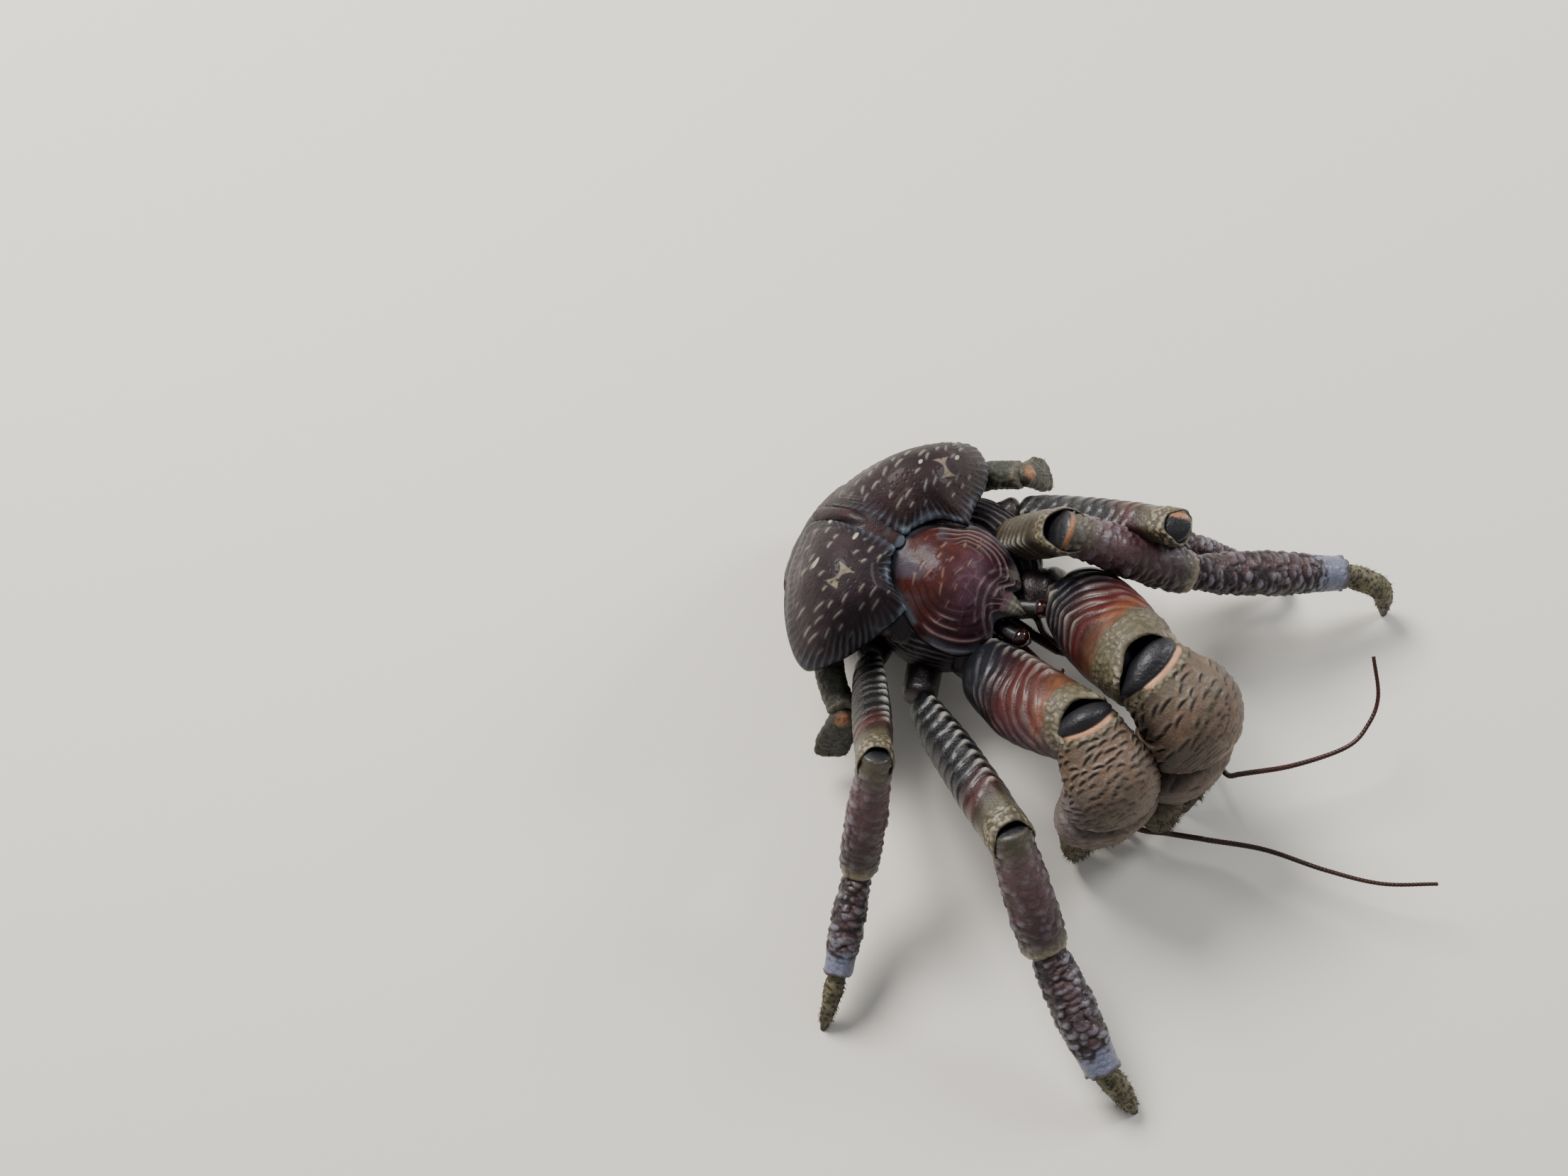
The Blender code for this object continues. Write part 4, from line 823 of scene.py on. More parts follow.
# a claw's upper arm: ridges that sweep round it, pale beads along their crest, a warty olive collar
# with a toothed lip
def upperArmDress(form, look):
    k, spots, place = clawColours, form.points, form.place
    outer = 0.0 if look["mesial"] > 0 else 180.0
    beadTurn = 90.0 + 40.0 * look["mesial"]
    crest = ridges(form, 8, 0.05, look["collar"] - 0.11, beadTurn, 6.5)
    upper = ease(np.sin(form.angle + 0.3 * look["mesial"]), -0.5, 0.1)
    breaks = ease(cloud(spots * np.array((0.5, 0.5, 1.0)), 2.0, 203), 0.24, 0.58)
    thin = ease(crest, 0.42, 0.8) * upper * breaks
    base = ramp(place + 0.16 * (clouds(spots, 4.0, look["seed"]) - 0.5),
                ((0.0, k.root), (0.26, k.blueBlack), (0.4, k.maroon), (0.52, k.red),
                 (look["collar"] - 0.15, k.red), (look["collar"] - 0.09, k.orange),
                 (look["collar"] - 0.04, k.orange), (look["collar"], k.collar), (1.0, k.collar)))
    # the inner side goes dark, partly its own blue-black and partly painted shade; the grooves between the
    # ridges get painted shade as well
    mesialSide = nearTurn(form, 180.0 - outer, 78.0)
    paint = cover(base, k.root, 0.85 * mesialSide * ease(0.7 - place, 0.0, 0.5))
    paint = layers(paint, (k.collar, 0.6 * mesialSide * ease(place, 0.55, 0.75)),
                   (k.lilac, 0.85 * nearTurn(form, outer - 10.0 * look["mesial"], 42.0)
                    * ease(place, 0.35, 0.6)),
                   (k.root, ease(-np.sin(form.angle), 0.3, 0.9) * 0.8),
                   (k.root * 0.6, 0.5 * ease(0.3 - crest, 0.0, 0.3) * upper * ease(0.74 - place, 0.0, 0.1)),
                   (k.crest, 0.72 * thin))
    beads = ease(crest, 0.3, 0.7) * nearTurn(form, beadTurn, 10.0)
    paint = cover(paint, tint(172, 158, 146), beads)
    # orange-brown swirl before the collar
    swirl = np.cos(turnRound * (place * 15.0 + 1.4 * cloud(spots, 3.0, 207)))
    paint = cover(paint, tint(92, 60, 44), 0.5 * ease(swirl, 0.4, 0.9)
                  * ease(place, look["collar"] - 0.13, look["collar"] - 0.07)
                  * ease(look["collar"] + 0.03 - place, 0.0, 0.06))
    # warty olive collar with a pale beaded lip
    warts = grains(form.round, form.along, 1.1, 0.9, 0.62, look["seed"] + 3)
    collar = ease(place, look["collar"] - 0.03, look["collar"] + 0.03)
    paint = cover(paint, tint(158, 146, 112), 0.55 * warts * collar)
    teeth = (nearTurn(form, 90.0 + 62.0, 15.0) + nearTurn(form, 90.0 - 62.0, 15.0)) * ease(place, 0.9, 0.97)
    knobs = grains(form.round, form.along, 1.5, 1.2, 0.95, look["seed"] + 4)
    paint = layers(paint, (k.tooth, 0.95 * np.clip(teeth, 0.0, 1.0) * ease(knobs, 0.2, 0.6)),
                   (k.bulb, form.inside))
    relief = 0.38 * crest * upper + 0.42 * beads + 0.22 * warts * collar
    relief = relief + 0.7 * np.clip(teeth, 0.0, 1.0) * knobs
    relief = (relief + 0.35 * (clouds(spots, 5.0, 210) - 0.5)) * (1.0 - form.inside)
    wet = 0.5 - 0.4 * collar + 0.2 * thin
    return relief, paint, wet


# the hand's taupe skin: rows of short dark commas, each a painted shadow under a pale lip like a scale's
# edge, and fine specks of painted shade in small pits
def handSkin(form, look, across, along):
    k, spots = clawColours, form.points
    base = mottled(k.taupe, k.warm, spots, 4.5, look["seed"] + 11, 0.35, 0.7)
    base = cover(base, k.olive, 0.5 * ease(clouds(spots, 3.0, look["seed"] + 13), 0.5, 0.75))
    mark, lip = strokes(across, along, look["commas"], look["seed"] + 15)
    fade = ease(np.sin(form.angle), -0.9, -0.4)
    paint = cover(base, k.lip, 0.42 * lip * fade)
    # the commas: painted shadow under each lip
    paint = cover(paint, k.pit, 0.92 * mark * fade)
    # fine dark specks: painted shade in small pits
    speck, _ = strokes(across + 0.7, along, dict(look["commas"], pitch=0.9, rows=0.7, length=0.5,
                                                 width=0.16, keep=0.6), look["seed"] + 17)
    paint = cover(paint, k.pit, 0.3 * speck * fade)
    relief = (0.22 * lip - 0.24 * mark - 0.04 * speck) * fade
    relief = relief + 0.3 * (clouds(spots, 4.0, look["seed"] + 19) - 0.5)
    return relief, paint


crownHeight = 40.0


# the wrist: a dark joint bulb at its root, a peach crescent past it, then the hand's skin
def wristDress(form, look):
    k, spots, place = clawColours, form.points, form.place
    relief, paint = handSkin(form, look, form.round, form.down)
    dorsal = nearTurn(form, look["bulbTurn"], 52.0)
    fromRoot = form.along - 0.9 * dorsal + 0.6
    bulb = ease(look["bulb"] - fromRoot, -0.25, 0.25)
    crescent = ease(look["bulb"] + look["peach"] - fromRoot, -0.2, 0.2) * (1.0 - bulb)
    paint = layers(paint, (k.olive, ease(look["bulb"] + 3.4 - form.along, 0.0, 2.4) * 0.7),
                   (k.peach, crescent * ease(dorsal, 0.35, 0.6)),
                   (k.bulb, bulb))
    rimBead = np.exp(-((fromRoot - look["bulb"] - look["peach"] - 0.5) / 0.4) ** 2)
    warts = grains(form.round, form.along, 0.9, 0.8, 0.55, look["seed"] + 21)
    paint = cover(paint, k.tooth, 0.5 * rimBead * warts)
    outer = 0.0 if look["mesial"] > 0 else 180.0
    # mauve on the outer side, and painted shade on the inner side
    paint = layers(paint, (k.mauve, 0.55 * nearTurn(form, outer, 34.0) * ease(place, 0.5, 0.7)),
                   (k.pit, 0.75 * nearTurn(form, 180.0 - outer, 40.0) * ease(place, 0.2, 0.4)))
    smooth = 1.0 - np.clip(bulb + crescent, 0.0, 1.0)
    relief = relief * smooth + 0.9 * np.exp(-(np.maximum(fromRoot - 0.8,
                                                         0.0) / 1.7) ** 2) * dorsal * ease(place, 0.0, 0.03)
    relief = relief - 0.25 * np.exp(-((fromRoot - look["bulb"]) / 0.25) ** 2) + 0.18 * rimBead * warts
    # the crown stays about as low as the solid's
    relief = relief - 0.6 * np.maximum(spots[..., 2] - crownHeight, 0.0)
    wet = 0.12 + 0.88 * np.clip(bulb, 0.0, 1.0) + 0.45 * crescent
    return relief, paint, wet


# the palm: the hand's skin, mauve outside, painted shade on the inner side and olive towards the fingers
def palmDress(form, look):
    k, spots, place = clawColours, form.points, form.place
    relief, paint = handSkin(form, look, form.round, form.down + 3.1)
    outer = 0.0 if look["mesial"] > 0 else 180.0
    # mauve outside, painted shade on the inner side, olive towards the fingers
    paint = layers(paint, (k.mauve, 0.6 * nearTurn(form, outer, 45.0) * ease(0.75 - place, 0.0, 0.4)),
                   (k.pit, 0.6 * nearTurn(form, 180.0 - outer, 38.0)),
                   (k.olive, 0.6 * ease(place, 0.6, 1.0)))
    return relief, paint, 0.12 + 0.1 * clouds(spots, 3.0, 22)


# a finger: olive and warty, pale teeth along the side that meets the other, a dark tip
def fingerDress(form, look):
    k, spots, place = clawColours, form.points, form.place
    warts = grains(form.round, form.along, 1.0, 0.95, 0.62, look["seed"] + 31)
    paint = mottled(k.olive, tint(70, 60, 44), spots, 2.0, 24, 0.35, 0.7)
    paint = cover(paint, tint(150, 138, 100), 0.5 * warts)
    inward = 180.0 if look["inward"] > 0 else 0.0
    teeth = grains(form.round, form.along, 2.2, 1.9, 1.25, look["seed"] + 33) * nearTurn(form, inward, 24.0)
    teeth = teeth * ease(place, 0.3, 0.45) * ease(0.92 - place, 0.0, 0.1)
    paint = layers(paint, (k.tooth, ease(teeth, 0.2, 0.6)),
                   (tint(40, 30, 24), ease(place, 0.86, 0.96)))
    relief = 0.22 * warts * ease(0.9 - place, 0.0, 0.2) + 0.7 * teeth + 0.2 * (clouds(spots, 2.0, 26) - 0.5)
    return relief, paint, 0.2 + 0.4 * ease(place, 0.86, 0.96)


bristleSets = []
bristleLook = dict(thick=0.075, sunk=0.15, tiles=5, patch=0.0015, shades=(0.6, 0.6, 0.6, 1.5))
triangleTurns = (0.0, turnRound / 3, 2 * turnRound / 3)


# remembers bristle roots on a limb: near given turns, pointing out and towards the tip
def plantBristles(look, turns, first, last, count, length, seed, each=4, lean=0.9):
    form = limbForm(look, 0.5)
    rng = np.random.default_rng(seed)
    total = count * each
    place = np.repeat(first + (last - first) * rng.random(count), each) + 0.012 * rng.standard_normal(total)
    turn = np.repeat(np.radians(rng.choice(turns, count) + 12.0 * rng.standard_normal(count)), each)
    turn = turn + 0.05 * rng.standard_normal(total)
    rows = np.clip(np.searchsorted(form.place[:, 0], place), 0, len(form.place) - 2)
    columns = ((turn + math.pi / 2.0) / turnRound * form.angle.shape[1]).astype(int) % form.angle.shape[1]
    root = form.points[rows, columns]
    lead = unit(form.points[rows + 1, columns] - root)
    way = unit(form.out[rows, columns] + lean * lead + 0.35 * rng.standard_normal((total, 3)))
    tile, tiles = len(bristleSets), bristleLook["tiles"]
    unwrap = np.stack(((tile % tiles + 0.05 + 0.9 * (turn / turnRound % 1.0)) / tiles,
                       (tile // tiles + 0.05 + 0.9 * np.clip(place, 0.0, 1.0)) / tiles), axis=-1)
    bristleSets.append((root - bristleLook["sunk"] * way, way, length * (0.6 + 0.7 * rng.random(total)),
                        unwrap))


# each bristle is a three-sided spike from its root to its tip
def addBristles(name, colour):
    root, way, reach, unwrap = (np.concatenate(column) for column in zip(*bristleSets))
    side = unit(np.cross(way, np.array((0.31, 0.52, 0.79))))
    other = np.cross(way, side)
    ring = [root + bristleLook["thick"] * (side * math.cos(turn) + other * math.sin(turn))
            for turn in triangleTurns]
    tip = root + way * reach[:, None]
    tip[:, 2] = np.maximum(tip[:, 2], 0.02)
    spots = toWorld(np.stack(ring + [tip], axis=1)).reshape(-1, 3)
    start = np.arange(len(root))[:, None] * 4
    sides = ((0, 1, 3), (1, 2, 3), (2, 0, 3), (2, 1, 0))
    faces = np.concatenate([start + np.array(corners) for corners in sides])
    paint = np.ones((len(spots), 4))
    shade = np.tile(np.array(bristleLook["shades"]), len(root))[:, None]
    paint[:, :3] = colour * shade
    mesh = faceMesh(name, spots, (faces,), paint, np.zeros(len(spots)))
    # every bristle's patch on the limbs' unwrap, at its root's turn and place
    patch = np.array([(math.cos(turn), math.sin(turn)) for turn in triangleTurns] + [(0.0, 0.0)])
    spread = unwrap[:, None, :] + bristleLook["patch"] * patch
    corners = np.empty(len(mesh.loops), dtype=np.int32)
    mesh.loops.foreach_get("vertex_index", corners)
    places = spread.reshape(-1, 2)[corners].ravel().astype(np.float32)
    mesh.uv_layers.new(name="OFBake").data.foreach_set("uv", places)
    return addPiece(name, mesh, finishes["bristle"], ())


for name, claw in claws.items():
    size, mesial, seed = claw["size"], claw["mesial"], claw["seed"]
    knee, bend, shoulder, knuckle = claw["knee"], claw["bend"], claw["shoulder"], claw["knuckle"]
    face = unit(np.array((bend[0] - knee[0], bend[1] - knee[1], 0.0)))
    across = np.array((-face[1], face[0], 0.0))
    middle = np.array(between(claw["socket"], knee, 0.5)) + np.array(claw["bow"])
    arm = dict(course=(beyond(knee, claw["socket"], 1.0), tuple(middle), beyond(claw["socket"], knee, 0.9)),
               widths=scaled((9.0, 12.0, 13.4, 13.4, 12.4, 11.0), size),
               heights=scaled((9.0, 11.5, 12.8, 13.0, 12.4, 11.2), size), root=0.8, slant=1.6, cup=True,
               notch=1.6 * size, notchTurn=90.0 - 6.0 * mesial, notchWide=0.8, rim=0.8,
               collar=0.83 if mesial > 0 else 0.75, mesial=mesial, seed=seed)
    addLimb("claw_upper_arm_" + name, arm, upperArmDress, "arm", ("claw_" + name + "_merus",))
    commas = dict(pitch=2.3, rows=1.35, length=1.9, width=0.42, turn=-0.1, wander=0.7, bend=0.5, keep=0.9)
    if name == "left":
        commas.update(pitch=2.7, rows=1.8, length=2.4, width=0.5, turn=-0.3, keep=0.88)
    crown = np.array(between(knee, bend, 0.5)) + np.array((0.0, 0.0, 0.6))
    wrist = dict(course=(beyond(bend, knee, 3.4), tuple(crown), bend, shoulder),
                 lift=tuple(face + np.array(upward)),
                 widths=scaled((10.2, 11.2, 13.2, 15.0, 16.6, 17.2), size),
                 heights=scaled((11.2, 11.2, 11.6, 12.2, 12.6, 12.2), size), root=0.4, end=0.35,
                 mesial=mesial, seed=seed, commas=commas, bulb=3.1 * size, peach=0.85,
                 bulbTurn=90.0 - 6.0 * mesial)
    addLimb("claw_wrist_" + name, wrist, wristDress, "hand", ("claw_" + name + "_carpus",), step=0.17)
    palm = dict(course=(beyond(knuckle, shoulder, 0.6), between(shoulder, knuckle, 0.5), knuckle),
                lift=tuple(face), widths=scaled(claw["palm"], size),
                heights=scaled((12.0, 12.6, 12.0, 10.8, 8.8), size), root=0.35, end=0.7, mesial=mesial,
                seed=seed, commas=commas)
    addLimb("claw_palm_" + name, palm, palmDress, "hand", (), step=0.17)
    outerRoot = np.array(knuckle) + np.array((0, 0, 4.0)) - across * mesial * 3.7 * size
    outerBend = np.array(between(outerRoot, claw["outerTip"], 0.6)) - across * mesial * 1.2
    fixed = dict(course=(tuple(outerRoot), tuple(outerBend), claw["outerTip"]), lift=tuple(face),
                 widths=scaled((7.4, 6.4, 4.4, 1.6), size), heights=scaled((7.0, 6.0, 4.2, 1.6), size),
                 end=0.8, seed=seed + 1, inward=mesial)
    addLimb("claw_fixed_finger_" + name, fixed, fingerDress, "tip", ("claw_" + name + "_palm",))
    innerRoot = np.array(knuckle) + np.array((0, 0, 1.0)) + across * mesial * 4.0 * size
    innerBend = np.array(between(innerRoot, claw["innerTip"], 0.6)) + across * mesial * 1.4
    finger = dict(course=(tuple(innerRoot), tuple(innerBend), claw["innerTip"]), lift=tuple(face),
                  widths=scaled((6.0, 6.4, 4.8, 1.6), size), heights=scaled((6.0, 6.2, 4.6, 1.6), size),
                  end=0.8, seed=seed + 2, inward=-mesial)
    addLimb("claw_finger_" + name, finger, fingerDress, "tip", ("claw_" + name + "_finger",))
    plantBristles(fixed, (60.0, 90.0, 130.0, 30.0), 0.15, 0.85, 60, 1.3, seed + 40)
    plantBristles(finger, (60.0, 90.0, 130.0), 0.1, 0.85, 50, 1.3, seed + 41)
    plantBristles(palm, (50.0, 90.0, 130.0), 0.72, 0.98, 60, 1.2, seed + 42)
print("claws made")

# the walking legs: hip, socket, knee, wrist, ankle and tip, and a point of the curved claw tip
legs = {
    "leg2_right": dict(joints=((11, -8, 12), (14.5, -18, 15.5), (38.9, -34.2, 30), (52, -43.9, 16),
                               (69.6, -55, 7), (77.6, -57, -0.4)), middle=(73.5, -55.9, 4.4), seed=300,
                       tone=0.0, mesial=1.0, bulb=0.7, peach=0.0, notch=0.6, steep=0.0),
    "leg2_left": dict(joints=((10, 8, 11), (12.5, 14.5, 13), (23, 13, 36), (43, 22, 22), (65.6, 38.7, 13),
                              (75.8, 41.2, -0.4)), middle=(72.6, 41.4, 8.6), seed=320, tone=1.0,
                      mesial=-1.0, bulb=1.2, peach=0.9, notch=0.9, steep=0.5),
    "leg3_right": dict(joints=((3, -9, 11), (3.6, -15.8, 14), (14.8, -34.6, 32), (19.8, -47.9, 15),
                               (24.7, -63, 8), (26.6, -70.9, -0.4)), middle=(25.7, -66.9, 4.7), seed=340,
                       tone=0.1, mesial=1.0, bulb=0.7, peach=0.0, notch=0.6, steep=0.0),
    "leg3_left": dict(joints=((5, 11, 12), (13.5, 20.5, 17), (37.7, 23.4, 34), (36.5, 28, 16.5),
                              (53, 33, 8), (59, 37.5, -0.4)), middle=(56.4, 35.2, 4.8), seed=360, tone=0.0,
                      mesial=-1.0, bulb=1.0, peach=1.0, notch=1.0, steep=2.0),
}
legWidths = {
    "leg2": dict(merus=(5.0, 6.8, 7.6, 7.8, 7.6), carpus=(6.7, 6.8, 7.6, 7.8, 7.2),
                 propodus=(4.6, 6.6, 7.2, 6.6, 5.9), dactyl=(3.4, 4.3, 3.9, 2.9, 1.0)),
    "leg3": dict(merus=(4.4, 5.6, 6.2, 6.2, 6.0), carpus=(5.3, 5.6, 6.4, 6.4, 5.6),
                 propodus=(3.6, 4.8, 5.4, 5.0, 4.6), dactyl=(2.4, 3.3, 2.8, 2.0, 0.9)),
}
legRidges = 10
legColours = palette(
    night=(28, 30, 36), wine=(92, 44, 42), olive=(100, 92, 72),
    crest=(126, 124, 122), bead=(214, 208, 196), purple=(78, 54, 60), mauve=(118, 90, 92),
    plum=(104, 70, 74),
    pale=(168, 166, 178), lavender=(152, 156, 182), khaki=(156, 148, 108), horn=(38, 32, 26),
    cream=(206, 190, 156), peach=(214, 150, 108), bulb=(38, 37, 41), grey=(112, 102, 84),
)


# a leg's upper length: thin pale ridges with beads on the crest, a warty lip
def legMerusDress(form, look):
    k, spots, place = legColours, form.points, form.place
    crest = ridges(form, legRidges, 0.04, 0.76, look["crest"], 2.6, 0.2)
    upper = ease(np.sin(form.angle), -0.6, 0.1)
    thin = ease(crest, 0.66, 0.96) * upper * ease(cloud(spots * 0.7, 1.8, 304), 0.2, 0.55)
    base = ramp(place + 0.05 * (clouds(spots, 3.0, look["seed"]) - 0.5),
                ((0.0, k.night), (0.6, k.night), (0.74, k.wine), (0.84, k.olive), (1.0, k.olive)))
    cup = mottled(k.grey, k.olive, spots, 3.0, look["seed"] + 1, 0.3, 0.7)
    paint = cover(base, cup, look["tone"] * ease(place, 0.05, 0.3))
    # painted shade in the grooves between the ridges, then the pale ridge lines
    paint = layers(paint, (k.night * 0.5, 0.45 * ease(0.3 - crest, 0.0, 0.3) * upper
                           * ease(0.85 - place, 0.0, 0.05)),
                   (k.crest, 0.7 * thin * (0.3 + 0.7 * nearTurn(form, look["crest"], 62.0))))
    ridgeLine = nearTurn(form, look["crest"], 17.0)
    beads = ease(crest, 0.35, 0.75) * nearTurn(form, look["crest"], 12.0)
    paint = cover(paint, k.bead, 0.85 * np.clip(beads, 0.0, 1.0) * ease(0.9 - place, 0.0, 0.1))
    warts = grains(form.round, form.along, 0.9, 0.8, 0.52, look["seed"] + 3)
    collar = ease(place, 0.85, 0.92)
    paint = layers(paint, (k.cream, 0.7 * ease(warts, 0.3, 0.8) * collar),
                   (k.bulb, form.inside))
    relief = 0.2 * crest * upper + 0.32 * beads + 0.4 * ridgeLine + 0.2 * warts * collar
    relief = relief + 0.2 * (clouds(spots, 3.0, 310) - 0.5)
    return relief * (1.0 - form.inside), paint, 0.75 - 0.4 * collar


# a leg's middle length: a dark bulb and a peach crescent at the root, knobs along the edges
def legCarpusDress(form, look):
    k, spots, place = legColours, form.points, form.place
    dorsal = nearTurn(form, 90.0, 62.0)
    fromRoot = form.along - 0.4 * (1.0 - dorsal)
    fromRoot = fromRoot + look["steep"] * np.sin(form.angle) * form.scale
    bulb = ease(look["bulb"] - fromRoot, -0.2, 0.2)
    crescent = ease(look["bulb"] + 0.9 - fromRoot, -0.15, 0.15) * (1.0 - bulb)
    base = ramp(place + 0.08 * (clouds(spots, 2.5, look["seed"] + 5) - 0.5),
                ((0.0, k.olive), (0.16, k.grey), (0.27, k.mauve), (0.5, k.plum), (0.84, k.purple),
                 (0.93, k.grey), (1.0, k.cream)))
    bumps = grains(form.round, form.down, 1.7, 1.3, 1.05, look["seed"] + 6, 0.5)
    warts = grains(form.round, form.down, 0.8, 0.7, 0.5, look["seed"] + 7)
    below = ease(-np.sin(form.angle), 0.3, 0.9)
    sides = 0.1 + nearTurn(form, 14.0, 32.0) + nearTurn(form, 166.0, 32.0)
    edges = np.clip(sides, 0.0, 1.0) * (1.0 - 0.6 * below)
    patchy = ease(clouds(spots, 3.5, look["seed"] + 12), 0.4, 0.62)
    paint = cover(base, k.pale, 0.6 * ease(bumps, 0.55, 1.0) * np.clip(edges + 0.35 * patchy, 0.0, 1.0))
    # painted shade on the low ground between the bumps, then cream warts, the peach crescent and the dark
    # bulb
    paint = layers(paint, (k.night, 0.55 * ease(0.3 - bumps, 0.0, 0.3) * ease(place, 0.3, 0.45) * edges),
                   (k.cream, 0.6 * ease(warts, 0.4, 0.9) * ease(place, 0.88, 0.97)),
                   (k.peach, look["peach"] * crescent * ease(dorsal, 0.4, 0.65)),
                   (k.bulb, bulb),
                   (k.bulb, form.inside))
    clean = 1.0 - np.clip(bulb + crescent + form.inside, 0.0, 1.0)
    relief = (0.42 * bumps * (0.3 + 0.7 * edges) + 0.05 * warts) * clean
    relief = relief + 0.2 * (clouds(spots, 3.0, 330) - 0.5)
    relief = relief + 0.65 * np.exp(-(fromRoot / 1.6) ** 2) * dorsal * ease(place, 0.0, 0.05)
    return relief, paint, 0.3 + 0.6 * bulb + 0.15 * bumps


# a leg's shin: rows of purple scales with pale tops, a lavender band before the end
def legPropodusDress(form, look):
    k, spots, place = legColours, form.points, form.place
    scales = grains(form.round, form.down, 1.55, 1.2, 1.05, look["seed"] + 8, 0.8)
    pits, _ = strokes(form.round, form.down, dict(pitch=1.5, rows=1.05, length=1.0, width=0.4, turn=0.0,
                                                  wander=0.5, bend=0.5, keep=0.85), look["seed"] + 14)
    band = ease(place + 0.1 * (scales - 0.5), 0.78, 0.84) * ease(0.99 - place, 0.0, 0.03)
    upperLine = nearTurn(form, 90.0, 20.0)
    base = ramp(place, ((0.0, k.olive), (0.1, k.purple)))
    base = cover(base, k.night, 0.5 * ease(clouds(spots, 2.5, look["seed"] + 9), 0.4, 0.7))
    paint = cover(base, tint(104, 62, 58), 0.5 * nearTurn(form, 90.0, 30.0))
    patchy = 0.45 + 0.55 * ease(clouds(spots, 3.0, look["seed"] + 13), 0.35, 0.6)
    # pale scale tops; the dark between the scales and in the pits is painted shade
    paint = layers(paint, (k.pale, 0.75 * ease(scales, 0.55, 1.0) * (1.0 - 0.55 * upperLine) * (1.0 - band)
                           * patchy),
                   (k.night, 0.7 * ease(0.28 - scales, 0.0, 0.28) * (1.0 - band)),
                   (k.lavender, 0.9 * band),
                   (k.night, 0.85 * pits * ease(0.9 - place, 0.0, 0.05) * (1.0 - 0.5 * upperLine)),
                   (k.olive, ease(place, 0.97, 0.995) * 0.7),
                   (k.bulb, form.inside))
    relief = (0.4 * scales * (1.0 - 0.8 * band) - 0.12 * pits) * (1.0 - form.inside)
    relief = relief + 0.15 * (clouds(spots, 3.0, 350) - 0.5)
    return relief, paint, 0.35 + 0.25 * band


# a leg's claw tip: khaki with dark warts and a horn-brown point
def dactylDress(form, look):
    k, spots, place = legColours, form.points, form.place
    warts = grains(form.round, form.down, 0.95, 0.85, 0.42, look["seed"] + 10, 0.3)
    paint = mottled(k.khaki, tint(126, 118, 88), spots, 1.6, look["seed"] + 11, 0.3, 0.7)
    paint = layers(paint, (k.horn, 0.9 * ease(warts, 0.15, 0.6)),
                   (k.horn, ease(place, 0.84, 0.94)))
    relief = 0.12 * warts * ease(0.9 - place, 0.0, 0.2)
    return relief, paint, 0.15 + 0.5 * ease(place, 0.84, 0.94)


for name, leg in legs.items():
    socket, knee, wristSpot, ankle, tip = leg["joints"][1:]
    widths, seed = legWidths[name[:4]], leg["seed"]
    lift = tuple(unit(np.array(knee, dtype=float) - (np.array(socket) + np.array(tip)) / 2.0))
    merus = dict(course=(beyond(knee, socket, 0.3), beyond(socket, knee, 1.4)), lift=lift,
                 widths=widths["merus"], heights=scaled(widths["merus"], 1.1), slant=1.2, cup=True,
                 notch=leg["notch"], notchWide=0.8, rim=0.5, crest=90.0 + 28.0 * leg["mesial"], seed=seed,
                 tone=leg["tone"])
    addLimb(name + "_upper", merus, legMerusDress, "leg", (name + "_merus",))
    carpus = dict(course=(beyond(wristSpot, knee, 2.4), wristSpot), lift=lift, widths=widths["carpus"],
                  heights=scaled(widths["carpus"], 1.02), end=0.4, root=0.35, cup=True, seed=seed,
                  bulb=leg["bulb"], peach=leg["peach"], steep=leg["steep"])
    addLimb(name + "_middle", carpus, legCarpusDress, "leg", (name + "_carpus",))
    propodus = dict(course=(beyond(ankle, wristSpot, 1.4), ankle), lift=lift, widths=widths["propodus"],
                    heights=widths["propodus"], end=0.3, cup=True, seed=seed)
    addLimb(name + "_shin", propodus, legPropodusDress, "leg", (name + "_propodus",))
    dactyl = dict(course=(beyond(leg["middle"], ankle, 1.2), ankle, leg["middle"], tip), lift=lift,
                  widths=widths["dactyl"], heights=widths["dactyl"], end=0.9, seed=seed)
    addLimb(name + "_claw_tip", dactyl, dactylDress, "tip", (name + "_dactyl",))
    plantBristles(dactyl, (0.0, 45.0, 90.0, 135.0, 180.0, 225.0, 315.0), 0.15, 0.86, 60, 0.9, seed + 50,
                  lean=1.2)
    plantBristles(propodus, (60.0, 120.0), 0.15, 0.8, 14, 0.6, seed + 51, each=3, lean=1.4)
print("walking legs made")

# the small fourth legs: root, bend, elbow and the end of the small hand
fourthLegs = {
    "leg4_right": ((-5, -12, 12), (-1.4, -20.0, 14.2), (4.4, -25.7, 15.5), (5.2, -31.0, 6.5)),
    "leg4_left": ((-3, 12, 12), (4.0, 22.4, 14.6), (10.6, 25.0, 19.0), (13.5, 30.5, 11.0)),
}


# a small fourth leg: olive and warty, a peach patch at the root of its hand
def fourthDress(form, look):
    k, spots, place = legColours, form.points, form.place
    warts = grains(form.round, form.along, 0.9, 0.9, 0.55, look["seed"] + 2, 0.4)
    paint = mottled(tint(72, 72, 60), tint(92, 92, 76), spots, 2.5, look["seed"], 0.3, 0.7)
    # painted shade between the warts, then the peach patch and a pale tip
    paint = layers(paint, (k.night, 0.4 * ease(0.3 - warts, 0.0, 0.3)),
                   (k.peach, look["patch"] * ease(1.5 - np.abs(form.along - 1.5), 0.0, 0.7)
                    * nearTurn(form, 90.0, 38.0)),
                   (tint(150, 140, 116), 0.5 * ease(place, 0.93, 0.99)))
    return 0.16 * warts + 0.2 * (clouds(spots, 2.5, 420) - 0.5), paint, 0.35


